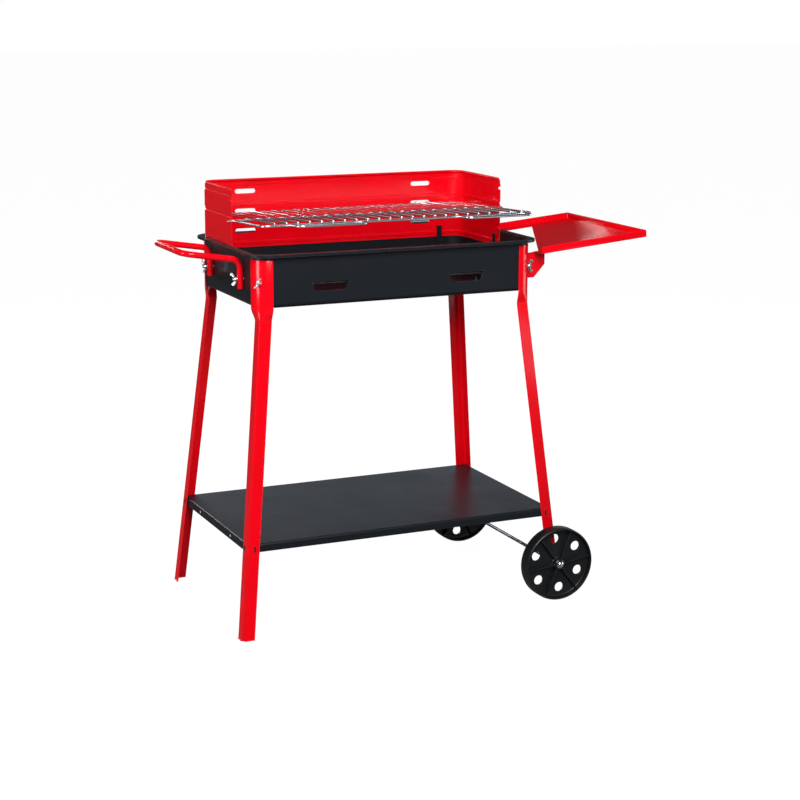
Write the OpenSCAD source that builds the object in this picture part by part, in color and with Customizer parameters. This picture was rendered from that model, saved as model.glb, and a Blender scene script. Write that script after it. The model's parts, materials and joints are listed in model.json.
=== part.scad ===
// Charcoal trolley barbecue: a sheet steel fire pan on four splayed sheet legs, with a
// windshield, a chrome cooking grill, a lower shelf, two wheels, a handle and a side tray.
// Millimetres, +Z up, the floor at z = 0. +X is the tray and wheel end, -Y the cook's side.

/* [Fire pan] */
// Length of the pan over its walls
pan_l = 582; // [540:2:640]
// Depth of the pan over its walls, front to back
pan_w = 328; // [300:2:380]
// Height of the pan, floor to rim
pan_h = 102; // [92:1:120]
// Outer radius of the pan's upright corners
pan_corner_r = 32; // [26:1:38]
// Radius of the edge between the pan's floor and walls
pan_edge_r = 9; // [5:1:12]
// Thickness of the pan's sheet
pan_t = 1; // [0.8:0.1:1.4]
// Width of the rim outside the walls
rim_w = 14; // [10:1:18]
// Height of the turned-down lip at the rim's outer edge
rim_lip_h = 5; // [4:0.5:7]
// Height of the rim's top above the floor
rim_z = 731; // [690:1:780]

/* [Draught slots] */
// Distance of each slot's middle from the middle of the pan
vent_x = 143; // [110:1:170]
// Width of a slot along its upper edge
vent_top_w = 76; // [60:1:90]
// Width of a slot along its lower edge
vent_bottom_w = 63; // [50:1:72]
// Height of a slot
vent_h = 18; // [12:1:22]
// Height of a slot's middle above the pan's underside
vent_rise = 37; // [30:1:44]

/* [Windshield] */
// Height of the windshield
shield_h = 140; // [130:1:170]
// Depth to which the windshield stands in the pan, below the rim's top
shield_drop = 31; // [26:1:36]
// Length of each side panel, from the back face forwards
shield_reach = 186; // [160:1:210]
// Thickness of the windshield's sheet
shield_t = 1; // [0.8:0.1:1.2]
// Height of the stepped band along the top edge
shield_band_h = 15; // [10:1:20]
// Length of a grill slot in the back panel
slot_l = 43; // [40:1:50]
// Height of a grill slot
slot_h = 9; // [7.5:0.5:11]
// Middle of the grill slots, counted in steps of the cross wires from the grill's end
slot_steps_n = 3.69; // [3.4:0.01:3.75]
// Step between the three grill heights
slot_pitch = 40; // [34:1:42]
// Height of the lowest slot above the windshield's lower edge
slot_low = 34; // [32:1:40]
// Depth of a notch in the side panels' front edges
notch_depth = 6.5; // [6:0.5:10]

/* [Cooking grill] */
// Height at which the grill is set: 0 low, 1 middle, 2 high
grill_step_n = 1; // [0:1:2]
// Room between the grill's frame wire and the windshield's side panels
grill_room = 4.5; // [3.5:0.5:9]
// Reach of the grill in front of the side pegs, at the centre line
grill_front = 156; // [130:1:170]
// Thickness of the frame wire
frame_wire_d = 5; // [4.5:0.5:6]
// Thickness of the cross wires
cross_wire_d = 3.6; // [3:0.2:4.4]
// Number of cross wires
cross_wires_n = 23; // [21:2:25]
// Upward slope of the grill towards the cook, in degrees
grill_tilt = 2.6; // [2:0.1:3]
// Width of a handle loop
loop_w = 140; // [100:2:160]
// Reach of a handle loop in front of the grill
loop_reach = 36; // [28:1:44]
// Half the distance between the two handle loops' middles
loop_x = 174; // [140:1:180]
// Distance of the pair of loops to the right of the grill's middle
loop_shift = 18; // [0:1:24]

/* [Charcoal grate] */
// Height of the grate's frame wire above the pan's floor
grate_rise = 40; // [30:1:46]
// Room between the grate and the pan's walls
grate_room = 13; // [11:1:20]
// Thickness of the grate's rods
grate_rod_d = 5; // [4:0.5:6]
// Number of rods
grate_rods_n = 23; // [19:2:27]

/* [Legs] */
// Thickness of the legs' sheet
leg_t = 1.2; // [1:0.1:1.5]
// Width of each of a leg's two flanges
flange_w = 25; // [24:0.5:28]
// Outward lean of the legs along the length, from pan floor to ground
splay_x = 62; // [50:0.5:80]
// Outward lean of the legs along the depth, from pan floor to ground
splay_y = 54.5; // [44:0.5:70]
// Distance of the leg bolts below the rim's top
leg_bolt_drop = 53; // [48:1:60]

/* [Lower shelf] */
// Height of the shelf's top above the ground
shelf_z = 184; // [170:1:240]
// Height of the shelf's turned-down edge
shelf_edge_h = 16; // [14:1:22]
// Thickness of the shelf's sheet
shelf_t = 1; // [0.8:0.1:1.4]
// Distance of the two utensil holes in each end edge from the middle
shelf_hole_y = 91; // [60:1:120]
// Diameter of the utensil holes
shelf_hole_d = 6; // [5:0.5:7]

/* [Wheels] */
// Diameter of the wheels
wheel_d = 150; // [140:1:170]
// Width of the wheels' rims
wheel_w = 29; // [24:1:34]
// Diameter of the axle rod
axle_d = 7; // [6:0.5:10]
// Diameter of the six holes in a wheel's web
web_hole_d = 20; // [16:1:22]

/* [Side handle] */
// Diameter of the handle's rod
handle_d = 12; // [10:0.5:13]
// Distance of each arm of the handle from the middle
handle_y = 88; // [70:1:105]
// Length of the handle's arms, from their bends to the grip's centre line
handle_run = 98; // [76:1:120]
// Upward slope of the handle, in degrees
handle_tilt = 9; // [4:0.5:12]
// Height of the rod's lower end above the pan's underside
handle_foot = 28; // [16:1:32]

/* [Side tray] */
// Length of the tray's floor, outwards
tray_l = 242; // [200:1:280]
// How much shorter than the pan the tray is, front to back
tray_short = 4; // [-4:1:20]
// Height of the tray's upturned edges
tray_lip_h = 14; // [10:1:18]
// Upward slope of the tray, in degrees
tray_tilt = 5.3; // [3:0.1:7]
// Distance of the tray's inner edge below the rim's top
tray_drop = 30; // [27:0.5:32]
// Thickness of the tray's sheet
tray_t = 1; // [0.8:0.1:1.2]

/* [Fasteners] */
// Diameter of the bolts
bolt_d = 6; // [5:0.5:6]
// Span of a wing nut's wings
wing_span = 26; // [22:1:28]

/* [Hidden] */
$fn = 48;

// Running and seating gaps between pieces
run_gap = 0.05;
seat_gap = 0.3;
hole_gap = 0.2;
sheet_gap = 0.1;

// Cuts run this far past the sheets that they go through
cut_past = 2;

// Places worked out from the driving sizes. The pan's middle lies over pan_x, so that the
// part's own frame has its origin on the ground under the middle of the whole object.
pan_z = rim_z - pan_h;
arc_x = pan_l / 2 - pan_corner_r;
arc_y = pan_w / 2 - pan_corner_r;
handle_x = -(pan_l / 2 + seat_gap + handle_d / 2);
handle_bend_r = 18;
handle_bend_angle = 90 - handle_tilt;
handle_out_x = handle_x - handle_bend_r * (1 - cos(handle_bend_angle));
handle_end_x = handle_out_x - handle_run * cos(handle_tilt) - handle_d / 2;
tray_gap = 4;
tray_x = pan_l / 2 + rim_w + tray_gap;
tray_z = rim_z - tray_drop;
tray_end_x = tray_x + (tray_l + tray_t) * cos(tray_tilt);
pan_x = -(tray_end_x + handle_end_x) / 2;

// Legs: the sheet hugs the pan's corner, then folds into a right-angled ridge
fold_drop = 27;
fold_z = pan_z - fold_drop;
ridge_inset = 6;
fold_r = 4;
ridge_x0 = pan_l / 2 - ridge_inset;
ridge_y0 = pan_w / 2 - ridge_inset;
function ridge_x(z) = ridge_x0 + splay_x * (fold_z - z) / fold_z;
function ridge_y(z) = ridge_y0 + splay_y * (fold_z - z) / fold_z;
leg_top_gap = 6;
leg_top_z = rim_z - rim_lip_h - leg_top_gap;
leg_bolt_z = rim_z - leg_bolt_drop;
leg_in_r = pan_corner_r + sheet_gap;
leg_out_r = leg_in_r + leg_t;
leg_below_axle = 14;
foot_lip = 3;

// Shelf: its top edge touches the insides of the legs
shelf_l = 2 * (ridge_x(shelf_z) - leg_t - sheet_gap);
shelf_w = 2 * (ridge_y(shelf_z) - leg_t - sheet_gap);
shelf_corner_r = fold_r;
tab_w = 3;
tab_h = 11;
tab_inset = 15;
edge_mid_drop = shelf_edge_h / 2 + shelf_t;
tab_z = shelf_z - edge_mid_drop;
tab_proud = 1;
tab_slot_gap = 1;

// Wheels and axle
wheel_r = wheel_d / 2;
axle_z = wheel_r;
axle_x = ridge_x(axle_z) - flange_w / 2;
washer_t = 1;
washer_rim = 5;
washer_r = axle_d / 2 + washer_rim;
lean_y = splay_y / fold_z;
washer_y = ridge_y(axle_z) + lean_y * washer_r + sheet_gap;
hub_wall = 7;
hub_r = axle_d / 2 + hub_wall;
hub_y = washer_y + washer_t + seat_gap;
hub_proud = 0.5;
wheel_y = hub_y + hub_proud;
hub_w = wheel_w + 2 * hub_proud;
rim_band = 6;
rim_round = 2;
web_t = 5;
web_hole_margin = 7;
web_hole_r = wheel_r - rim_band - web_hole_d / 2 - web_hole_margin;
rib_t = 3;
rib_h = 9;
cap_y = hub_y + hub_w + seat_gap;
cap_wall = 4;
cap_r = axle_d / 2 + cap_wall;
cap_h = 6;
cap_depth = 3;
cap_base_h = 2;
axle_half = cap_y + cap_depth;

// Windshield: it stands inside the pan's walls
shield_gap = 0.5;
shield_l = pan_l - 2 * (pan_t + shield_gap);
shield_y = pan_w / 2 - pan_t - shield_gap;
shield_r = pan_corner_r - pan_t - shield_gap;
shield_z = rim_z - shield_drop;
shield_front_y = shield_y - shield_reach;
bead_deep = 1.2;
bead_tall = 5;
bead_low = 9;
bead_under_slot = 26;
bead_high = slot_low + 2 * slot_pitch - bead_under_slot;
band_in = 1;
roll_r = 2.5;
shield_chamfer = 9;
wire_r = frame_wire_d / 2;
notch_r = wire_r + seat_gap;
notch_y = shield_front_y + notch_depth;
notch_lift = 4;

// Clips on the pan's walls that hold the windshield
clip_w = 12;
clip_t = 1.2;
clip_foot_h = 9;
clip_up = 24;
clip_x = 240;
clip_side_in = 20;
clip_side_y = shield_front_y + clip_side_in;
clip_slack = 0.5;
clip_room = bead_deep + clip_slack;

// Cooking grill, in its own tilted frame with its origin between the side pegs
slot_z = shield_z + slot_low + grill_step_n * slot_pitch;
grill_y0 = notch_y;
grill_z0 = slot_z + notch_lift;
grill_back_room = 5;
grill_back = (shield_y - shield_t - wire_r - grill_back_room - grill_y0) / cos(grill_tilt);
grill_l = shield_l - 2 * (shield_t + grill_room) - frame_wire_d;
grill_corner_r = 12;
cross_lift = (frame_wire_d + cross_wire_d) / 2 + run_gap;
cross_pitch = grill_l / (cross_wires_n + 1);
slot_x = grill_l / 2 - slot_steps_n * cross_pitch;
prong_past = 16;
peg_proud = 7;
peg_end = shield_l / 2 + peg_proud;
prong_margin = 2;
// The frame wire's ends lie one under the other, welded
lap_x = 37;
lap_l = 37;
lap_sink = 0.6;

// Charcoal grate: wires stand on the pan's floor
grate_l = pan_l - 2 * (pan_t + grate_room);
grate_w = pan_w - 2 * (pan_t + grate_room);
grate_z = pan_z + pan_t + grate_rise;
grate_corner_r = 30;
grate_wire_d = 6;
grate_rod_lift = (grate_wire_d + grate_rod_d) / 2 + run_gap;
grate_foot_drop = grate_wire_d + run_gap;
foot_x = grate_l / 3;
foot_inset = 26;
foot_z = pan_z + pan_t + seat_gap + grate_wire_d / 2;
foot_bend_r = 8;

// Handle: two upright arms, bent outwards and joined by the grip
handle_foot_z = pan_z + handle_foot;
handle_bolt_rise = 20;
handle_bolt_z = handle_foot_z + handle_bolt_rise;
grip_bend_r = 22;
bend_swell = 0.04;
bend_lap = 0.5;
handle_bend_rise = 21;
handle_up_z = handle_bolt_z + handle_bend_rise;

// Tray brackets and the tray's outline
bracket_t = 1.2;
bracket_leg_gap = 1;
bracket_y = arc_y - leg_t - bracket_leg_gap;
bracket_reach = 45;
bracket_foot_w = 28;
bracket_drop = 52;
bracket_chamfer = 24;
bracket_shelf_w = 16;
bracket_foot_drop = 6;
tray_w = pan_w - tray_short;
tray_forward = 6;
tray_front_y = -(tray_w / 2 + tray_forward);
tray_back_y = tray_front_y + tray_w;
tray_arm_w = 28;
tray_cut_l = 138;
tray_tab_w = 26;
tray_slant_in = 6;
tray_bolt_in = 15;
tray_bolt_y = bracket_y - tray_bolt_in;
tray_bolt_z = leg_bolt_z;
rivet_d = 4;
rivet_in = 16;
rivet_head_h = 1.2;
rivet_head_r = rivet_d * 0.9;

// Bolts and wing nuts
bolt_hole_d = bolt_d + 2 * hole_gap;
head_r = bolt_d;
head_h = bolt_d * 0.55;
leg_head_r = sqrt(pow(pan_corner_r - pan_t, 2) - pow(head_r, 2)) - run_gap;
nut_h = 7;
nut_wall = 2.4;
nut_r = bolt_d / 2 + nut_wall;
wing_t = 2;
wing_root = 1.5;
wing_rise = 5;
wing_tip_r = 2.8;
bolt_past = 2;

module in_frame() {
    translate([pan_x, 0, 0]) children();
}

// A flat ring sector in the quadrant from 0 to 90 degrees
module quarter_band(r_out, t) {
    intersection() {
        difference() {
            circle(r = r_out);
            circle(r = r_out - t);
        }
        square(r_out + 1);
    }
}

module round_plate(l, w, r, h) {
    linear_extrude(h) {
        square([l - 2 * r, w], center = true);
        square([l, w - 2 * r], center = true);
        for (sx = [-1, 1], sy = [-1, 1]) {
            translate([sx * (l / 2 - r), sy * (w / 2 - r)]) circle(r = r);
        }
    }
}

// Sweeps a flat profile around a rounded rectangle. The profile's x is the distance
// outwards from the rectangle's edge and its y is the height.
module sweep_ring(l, w, r) {
    for (turn = [0, 180]) rotate(turn) {
        translate([l / 2 - r, w / 2 - r, 0]) rotate_extrude(angle = 90) translate([r, 0]) children();
        translate([-l / 2 + r, w / 2 - r, 0]) rotate(90) rotate_extrude(angle = 90)
            translate([r, 0]) children();
        translate([l / 2, w / 2 - r, 0]) rotate([90, 0, 0]) linear_extrude(w - 2 * r) children();
        translate([-l / 2 + r, w / 2, 0]) rotate([90, 0, 90]) linear_extrude(l - 2 * r) children();
    }
}

// A straight wire along X, Y or Z, centred
module wire_x(l, d) {
    rotate([0, 90, 0]) cylinder(h = l, d = d, center = true);
}

module wire_y(l, d) {
    rotate([90, 0, 0]) cylinder(h = l, d = d, center = true);
}

// A closed wire loop, flat in XY, with round corners
module wire_loop(l, w, r, d) {
    for (s = [-1, 1]) {
        translate([0, s * w / 2, 0]) wire_x(l - 2 * r, d);
        translate([s * l / 2, 0, 0]) wire_y(w - 2 * r, d);
    }
    for (turn = [0, 180]) rotate(turn) {
        translate([l / 2 - r, w / 2 - r, 0]) rotate_extrude(angle = 90) translate([r, 0]) circle(d = d);
        translate([-l / 2 + r, w / 2 - r, 0]) rotate(90) rotate_extrude(angle = 90)
            translate([r, 0]) circle(d = d);
    }
}

// An open U of wire in XY, opening towards +Y, its base towards -Y
module wire_u(l, depth, r, d) {
    translate([0, -depth, 0]) wire_x(l - 2 * r, d);
    for (s = [-1, 1]) {
        translate([s * l / 2, -(depth - r) / 2, 0]) wire_y(depth - r, d);
    }
    translate([-l / 2 + r, -depth + r, 0]) rotate(180) rotate_extrude(angle = 90)
        translate([r, 0]) circle(d = d);
    translate([l / 2 - r, -depth + r, 0]) rotate(270) rotate_extrude(angle = 90)
        translate([r, 0]) circle(d = d);
}

// Fire pan
module pan_profile() {
    translate([-pan_edge_r, pan_edge_r]) mirror([0, 1]) quarter_band(pan_edge_r, pan_t);
    translate([-pan_t, pan_edge_r]) square([pan_t, pan_h - pan_edge_r]);
    translate([-pan_t, pan_h - pan_t]) square([rim_w + pan_t, pan_t]);
    translate([rim_w - pan_t, pan_h - rim_lip_h]) square([pan_t, rim_lip_h]);
}

module vent_shape() {
    polygon([[-vent_top_w / 2, vent_h / 2], [vent_top_w / 2, vent_h / 2],
        [vent_bottom_w / 2, -vent_h / 2], [-vent_bottom_w / 2, -vent_h / 2]]);
}

module leg_bolt_axis(sx, sy) {
    translate([sx * arc_x, sy * arc_y, leg_bolt_z]) rotate(atan2(sy, sx)) rotate([0, 90, 0]) children();
}

module firebox_pan() {
    color("#2b2f33") in_frame() difference() {
        translate([0, 0, pan_z]) {
            sweep_ring(pan_l, pan_w, pan_corner_r) pan_profile();
            round_plate(pan_l - 2 * pan_edge_r, pan_w - 2 * pan_edge_r, pan_corner_r - pan_edge_r, pan_t);
        }
        for (s = [-1, 1]) translate([s * vent_x, -pan_w / 2 + pan_t + cut_past, pan_z + vent_rise]) {
            rotate([90, 0, 0]) linear_extrude(pan_t + 2 * cut_past) vent_shape();
        }
        for (sx = [-1, 1], sy = [-1, 1]) leg_bolt_axis(sx, sy) {
            translate([0, 0, pan_corner_r - pan_t - cut_past])
                cylinder(h = pan_t + 2 * cut_past, d = bolt_hole_d);
        }
        for (s = [-1, 1]) {
            translate([-pan_l / 2, s * handle_y, handle_bolt_z]) wire_x(4 * pan_t, bolt_hole_d);
            translate([pan_l / 2, s * tray_bolt_y, tray_bolt_z]) wire_x(4 * pan_t, bolt_hole_d);
        }
    }
}

// A bent clip, its foot on the wall at x = 0 and the windshield's place above the foot
module clip() {
    tongue_x = shield_gap + shield_t + clip_room;
    translate([0, -clip_w / 2, 0]) {
        cube([tongue_x + clip_t, clip_w, clip_foot_h]);
        translate([tongue_x, 0, 0]) cube([clip_t, clip_w, clip_foot_h + clip_up]);
    }
}

module windshield_clips() {
    color("#1c1e20") in_frame() translate([0, 0, shield_z - seat_gap - clip_foot_h]) {
        for (s = [-1, 1]) {
            translate([s * clip_x, pan_w / 2 - pan_t, 0]) rotate(-90) clip();
            translate([s * (pan_l / 2 - pan_t), clip_side_y, 0]) rotate(s > 0 ? 180 : 0) clip();
        }
    }
}

// Windshield
module bead_shape(h) {
    polygon([[-shield_t, h - bead_tall / 2 - bead_deep], [-shield_t - bead_deep, h - bead_tall / 2],
        [-shield_t - bead_deep, h + bead_tall / 2], [-shield_t, h + bead_tall / 2 + bead_deep],
        [0, h + bead_tall / 2 + bead_deep], [-bead_deep, h + bead_tall / 2],
        [-bead_deep, h - bead_tall / 2], [0, h - bead_tall / 2 - bead_deep]]);
}

module shield_profile() {
    band_z = shield_h - shield_band_h;
    low_end = bead_low - bead_tall / 2 - bead_deep;
    low_top = bead_low + bead_tall / 2 + bead_deep;
    high_end = bead_high - bead_tall / 2 - bead_deep;
    high_top = bead_high + bead_tall / 2 + bead_deep;
    translate([-shield_t, 0]) square([shield_t, low_end]);
    bead_shape(bead_low);
    translate([-shield_t, low_top]) square([shield_t, high_end - low_top]);
    bead_shape(bead_high);
    translate([-shield_t, high_top]) square([shield_t, band_z - high_top]);
    roll_z = shield_h - roll_r;
    polygon([[-shield_t, band_z], [0, band_z], [-band_in, band_z + band_in],
        [-band_in, roll_z], [-band_in - shield_t, roll_z], [-band_in - shield_t, band_z + band_in]]);
    translate([-band_in - roll_r, roll_z]) circle(r = roll_r);
}

module shield_walls() {
    side_l = shield_reach - shield_r;
    for (s = [-1, 1]) {
        translate([s * (shield_l / 2 - shield_r), shield_y - shield_r, 0])
            rotate(s > 0 ? 0 : 90) rotate_extrude(angle = 90) translate([shield_r, 0]) shield_profile();
    }
    translate([-shield_l / 2 + shield_r, shield_y, 0]) rotate([90, 0, 90])
        linear_extrude(shield_l - 2 * shield_r) shield_profile();
    translate([shield_l / 2, shield_y - shield_r, 0]) rotate([90, 0, 0])
        linear_extrude(side_l) shield_profile();
    translate([-shield_l / 2, shield_y - shield_r - side_l, 0]) rotate([90, 0, 180])
        linear_extrude(side_l) shield_profile();
}

module grill_slot() {
    translate([0, shield_t + cut_past, 0]) rotate([90, 0, 0]) linear_extrude(2 * (shield_t + cut_past)) {
        square([slot_l - slot_h, slot_h], center = true);
        for (s = [-1, 1]) translate([s * (slot_l - slot_h) / 2, 0]) circle(d = slot_h);
    }
}

module windshield() {
    color("#d8101f") in_frame() translate([0, 0, shield_z]) difference() {
        shield_walls();
        for (step = [0:2]) {
            for (s = [-1, 1]) {
                translate([s * slot_x, shield_y - shield_t, slot_low + step * slot_pitch]) grill_slot();
            }
            translate([0, notch_y, slot_low + step * slot_pitch + notch_lift]) rotate([-grill_tilt, 0, 0]) {
                wire_x(shield_l + 2 * cut_past, 2 * notch_r);
                translate([-shield_l / 2 - cut_past, -notch_depth - cut_past, -notch_r])
                    cube([shield_l + 2 * cut_past, notch_depth + cut_past, 2 * notch_r]);
            }
        }
        translate([0, shield_front_y, shield_h + wire_r]) rotate([45, 0, 0])
            cube([shield_l + 2 * cut_past, shield_chamfer * 1.5, shield_chamfer * 1.5], center = true);
    }
}

// Cooking grill
module in_grill_frame() {
    in_frame() translate([0, grill_y0, grill_z0]) rotate([-grill_tilt, 0, 0]) children();
}

module grill_frame_wire() {
    color("#d9dade") in_grill_frame() translate([0, (grill_back - grill_front) / 2, 0])
        wire_loop(grill_l, grill_back + grill_front, grill_corner_r, frame_wire_d);
    color("#d9dade") in_grill_frame() translate([lap_x, -grill_front, -frame_wire_d + lap_sink])
        wire_x(lap_l, frame_wire_d);
}

// A cross wire passes through a slot when it lies within the slot's straight part
function is_prong(x) = abs(abs(x) - slot_x) < (slot_l - cross_wire_d) / 2 - prong_margin;

module grill_cross_wires() {
    color("#d9dade") in_grill_frame() for (i = [1:cross_wires_n]) {
        x = -grill_l / 2 + i * cross_pitch;
        back = is_prong(x) ? grill_back + prong_past : grill_back + wire_r;
        front = grill_front + wire_r;
        translate([x, (back - front) / 2, cross_lift]) wire_y(back + front, cross_wire_d);
    }
}

module grill_middle_wire() {
    color("#d9dade") in_grill_frame() wire_x(grill_l - frame_wire_d - 2 * run_gap, frame_wire_d);
}

// Pegs on the frame's sides that rest in the windshield's notches
module grill_side_pegs() {
    inner = grill_l / 2 + wire_r + run_gap;
    color("#d9dade") in_grill_frame() for (s = [-1, 1]) {
        translate([s * (inner + peg_end) / 2, 0, 0]) wire_x(peg_end - inner, frame_wire_d);
    }
}

module grill_handle_loops() {
    color("#d9dade") in_grill_frame() for (s = [-1, 1]) {
        translate([loop_shift + s * loop_x, -grill_front - wire_r - run_gap, 0])
            wire_u(loop_w, loop_reach, grill_corner_r, frame_wire_d);
    }
}

// Charcoal grate
module charcoal_grate_frame() {
    color("#4a4744") in_frame() translate([0, 0, grate_z])
        wire_loop(grate_l, grate_w, grate_corner_r, grate_wire_d);
}

module charcoal_grate_rods() {
    pitch = (grate_l - 2 * grate_corner_r) / (grate_rods_n - 1);
    color("#4a4744") in_frame() for (i = [0:grate_rods_n - 1]) {
        translate([-grate_l / 2 + grate_corner_r + i * pitch, 0, grate_z + grate_rod_lift])
            wire_y(grate_w, grate_rod_d);
    }
}

module charcoal_grate_feet() {
    drop = grate_z - grate_foot_drop - foot_z;
    span = grate_w - 2 * foot_inset;
    color("#4a4744") in_frame() for (s = [-1, 1]) {
        translate([s * foot_x, 0, grate_z - grate_foot_drop]) rotate([90, 0, 90])
            wire_u(span, drop, foot_bend_r, grate_wire_d);
        for (side = [-1, 1]) {
            translate([s * foot_x, side * (span / 2 + foot_inset / 2), grate_z - grate_foot_drop])
                wire_y(foot_inset + grate_wire_d, grate_wire_d);
        }
    }
}

// Legs. A leg's sheet is a strip of points from the end of one flange, round the ridge, to
// the end of the other. The strip starts as a quarter circle and becomes the folded ridge.
STRIP = 12;
FOLD_FIRST = 3;
FOLD_LAST = 9;
// The strip's upper end lies this far inside the wall that hugs the pan
strip_sink = 0.2;
arc_end = 1;

function arc_point(i, r) =
    let (a = arc_end + (90 - 2 * arc_end) * i / STRIP) [arc_x + r * cos(a), arc_y + r * sin(a)];

function fold_point(i, x, y, w, r) =
    i < FOLD_FIRST ? [x, y - w + (w - r) * i / FOLD_FIRST] :
    i > FOLD_LAST ? [x - r - (w - r) * (i - FOLD_LAST) / FOLD_FIRST, y] :
    let (a = 90 * (i - FOLD_FIRST) / (FOLD_LAST - FOLD_FIRST)) [x - r + r * cos(a), y - r + r * sin(a)];

// Share of the way from quarter circle to fold, eased at both ends
function eased(f) = f * f * (3 - 2 * f);

function strip_point(i, z, inner) =
    let (f = eased(min(1, max(0, (pan_z - z) / (pan_z - fold_z)))),
        t = inner ? leg_t : 0,
        round_pt = arc_point(i, leg_out_r - (inner ? leg_t - strip_sink : strip_sink)),
        fold_pt = fold_point(i, ridge_x(min(z, fold_z)) - t, ridge_y(min(z, fold_z)) - t,
            flange_w - t, fold_r - t))
    [round_pt[0] + f * (fold_pt[0] - round_pt[0]), round_pt[1] + f * (fold_pt[1] - round_pt[1]), z];

module leg_sheet(bottom_z) {
    steps = 5;
    levels = concat([pan_z + 2], [for (k = [0:steps]) pan_z - k * (pan_z - fold_z) / steps], [bottom_z]);
    n = STRIP + 1;
    rows = len(levels);
    ring = 2 * n;
    points = [for (z = levels) each concat([for (i = [0:STRIP]) strip_point(i, z, false)],
        [for (i = [STRIP:-1:0]) strip_point(i, z, true)])];
    sides = [for (k = [0:rows - 2], j = [0:ring - 1])
        let (a = k * ring + j, b = k * ring + (j + 1) % ring)
            each [[a, b, a + ring], [b, b + ring, a + ring]]];
    top = [for (i = [0:STRIP - 1]) each [[i, ring - 1 - i, i + 1], [i + 1, ring - 1 - i, ring - 2 - i]]];
    base = (rows - 1) * ring;
    bottom = [for (i = [0:STRIP - 1]) each [[base + i, base + i + 1, base + ring - 1 - i],
        [base + i + 1, base + ring - 2 - i, base + ring - 1 - i]]];
    polyhedron(points = points, faces = concat(sides, top, bottom));
}

module leg(sx, sy, has_axle) {
    bottom_z = has_axle ? axle_z - leg_below_axle : 0;
    mirror([sx < 0 ? 1 : 0, 0, 0]) mirror([0, sy < 0 ? 1 : 0, 0]) difference() {
        union() {
            leg_sheet(bottom_z);
            translate([arc_x, arc_y, pan_z]) rotate_extrude(angle = 90)
                translate([leg_in_r, 0]) square([leg_t, leg_top_z - pan_z]);
            if (!has_axle) foot_lips();
        }
        leg_bolt_axis(1, 1) translate([0, 0, leg_in_r - cut_past])
            cylinder(h = leg_t + 2 * cut_past, d = bolt_hole_d);
        tab_slots();
        if (has_axle) translate([axle_x, ridge_y(axle_z), axle_z]) wire_y(10 * leg_t, axle_d + 2 * sheet_gap);
    }
}

// Turned-out edge at the foot of a leg
module foot_lips() {
    translate([ridge_x(0) - strip_sink, ridge_y(0) - flange_w, 0]) cube([foot_lip, flange_w - fold_r, leg_t]);
    translate([ridge_x(0) - flange_w, ridge_y(0) - strip_sink, 0]) cube([flange_w - fold_r, foot_lip, leg_t]);
}

// Slots in both flanges for the shelf's tabs
module tab_slots() {
    w = tab_w + 2 * tab_slot_gap;
    h = tab_h + 2 * tab_slot_gap;
    slot_deep = 10 * leg_t;
    translate([ridge_x(tab_z), ridge_y(tab_z) - tab_inset, tab_z]) cube([slot_deep, w, h], center = true);
    translate([ridge_x(tab_z) - tab_inset, ridge_y(tab_z), tab_z]) cube([w, slot_deep, h], center = true);
}

module leg_front_left() {
    color("#d8101f") in_frame() leg(-1, -1, false);
}

module leg_front_right() {
    color("#d8101f") in_frame() leg(1, -1, true);
}

module leg_back_left() {
    color("#d8101f") in_frame() leg(-1, 1, false);
}

module leg_back_right() {
    color("#d8101f") in_frame() leg(1, 1, true);
}

// Bolts and wing nuts. Both point along +Z from the face that they clamp.
module bolt(grip) {
    cylinder(h = grip + nut_h + bolt_past, d = bolt_d);
    rotate_extrude() intersection() {
        translate([0, head_h * -1]) square([head_r, head_h]);
        translate([0, head_r * 1.1 - head_h]) circle(r = head_r * 1.1);
    }
}

// One wing, from the nut's wall to its round tip
module wing_shape() {
    root_x = nut_r - wing_root;
    tip_x = wing_span / 2 - wing_tip_r;
    tip_z = nut_h + wing_rise - wing_tip_r;
    lean = wing_tip_r / 2;
    polygon([[root_x, 0], [root_x, nut_h], [tip_x - lean, tip_z + wing_tip_r - 0.3],
        [tip_x + wing_tip_r - 0.1, tip_z], [tip_x + lean / 3, tip_z - wing_tip_r - lean]]);
    translate([tip_x, tip_z]) circle(r = wing_tip_r);
}

module wing_nut() {
    difference() {
        union() {
            cylinder(h = nut_h, r = nut_r);
            for (s = [0, 180]) rotate([90, 0, s]) linear_extrude(wing_t, center = true) {
                wing_shape();
            }
        }
        translate([0, 0, -cut_past]) cylinder(h = nut_h + 2 * cut_past, d = bolt_d + 2 * run_gap);
    }
}

module leg_bolts() {
    color("#b9bcc0") in_frame() for (sx = [-1, 1], sy = [-1, 1]) {
        leg_bolt_axis(sx, sy) translate([0, 0, leg_head_r]) bolt(leg_out_r - leg_head_r);
    }
}

module leg_wing_nuts() {
    color("#b9bcc0") in_frame() for (sx = [-1, 1], sy = [-1, 1]) {
        leg_bolt_axis(sx, sy) translate([0, 0, leg_out_r + sheet_gap]) rotate(sx > 0 ? 0 : -35) wing_nut();
    }
}

// Lower shelf
module shelf_profile() {
    translate([-shelf_corner_r, shelf_edge_h - shelf_corner_r]) quarter_band(shelf_corner_r, shelf_t);
    translate([-shelf_t, 0]) square([shelf_t, shelf_edge_h - shelf_corner_r]);
}

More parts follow.
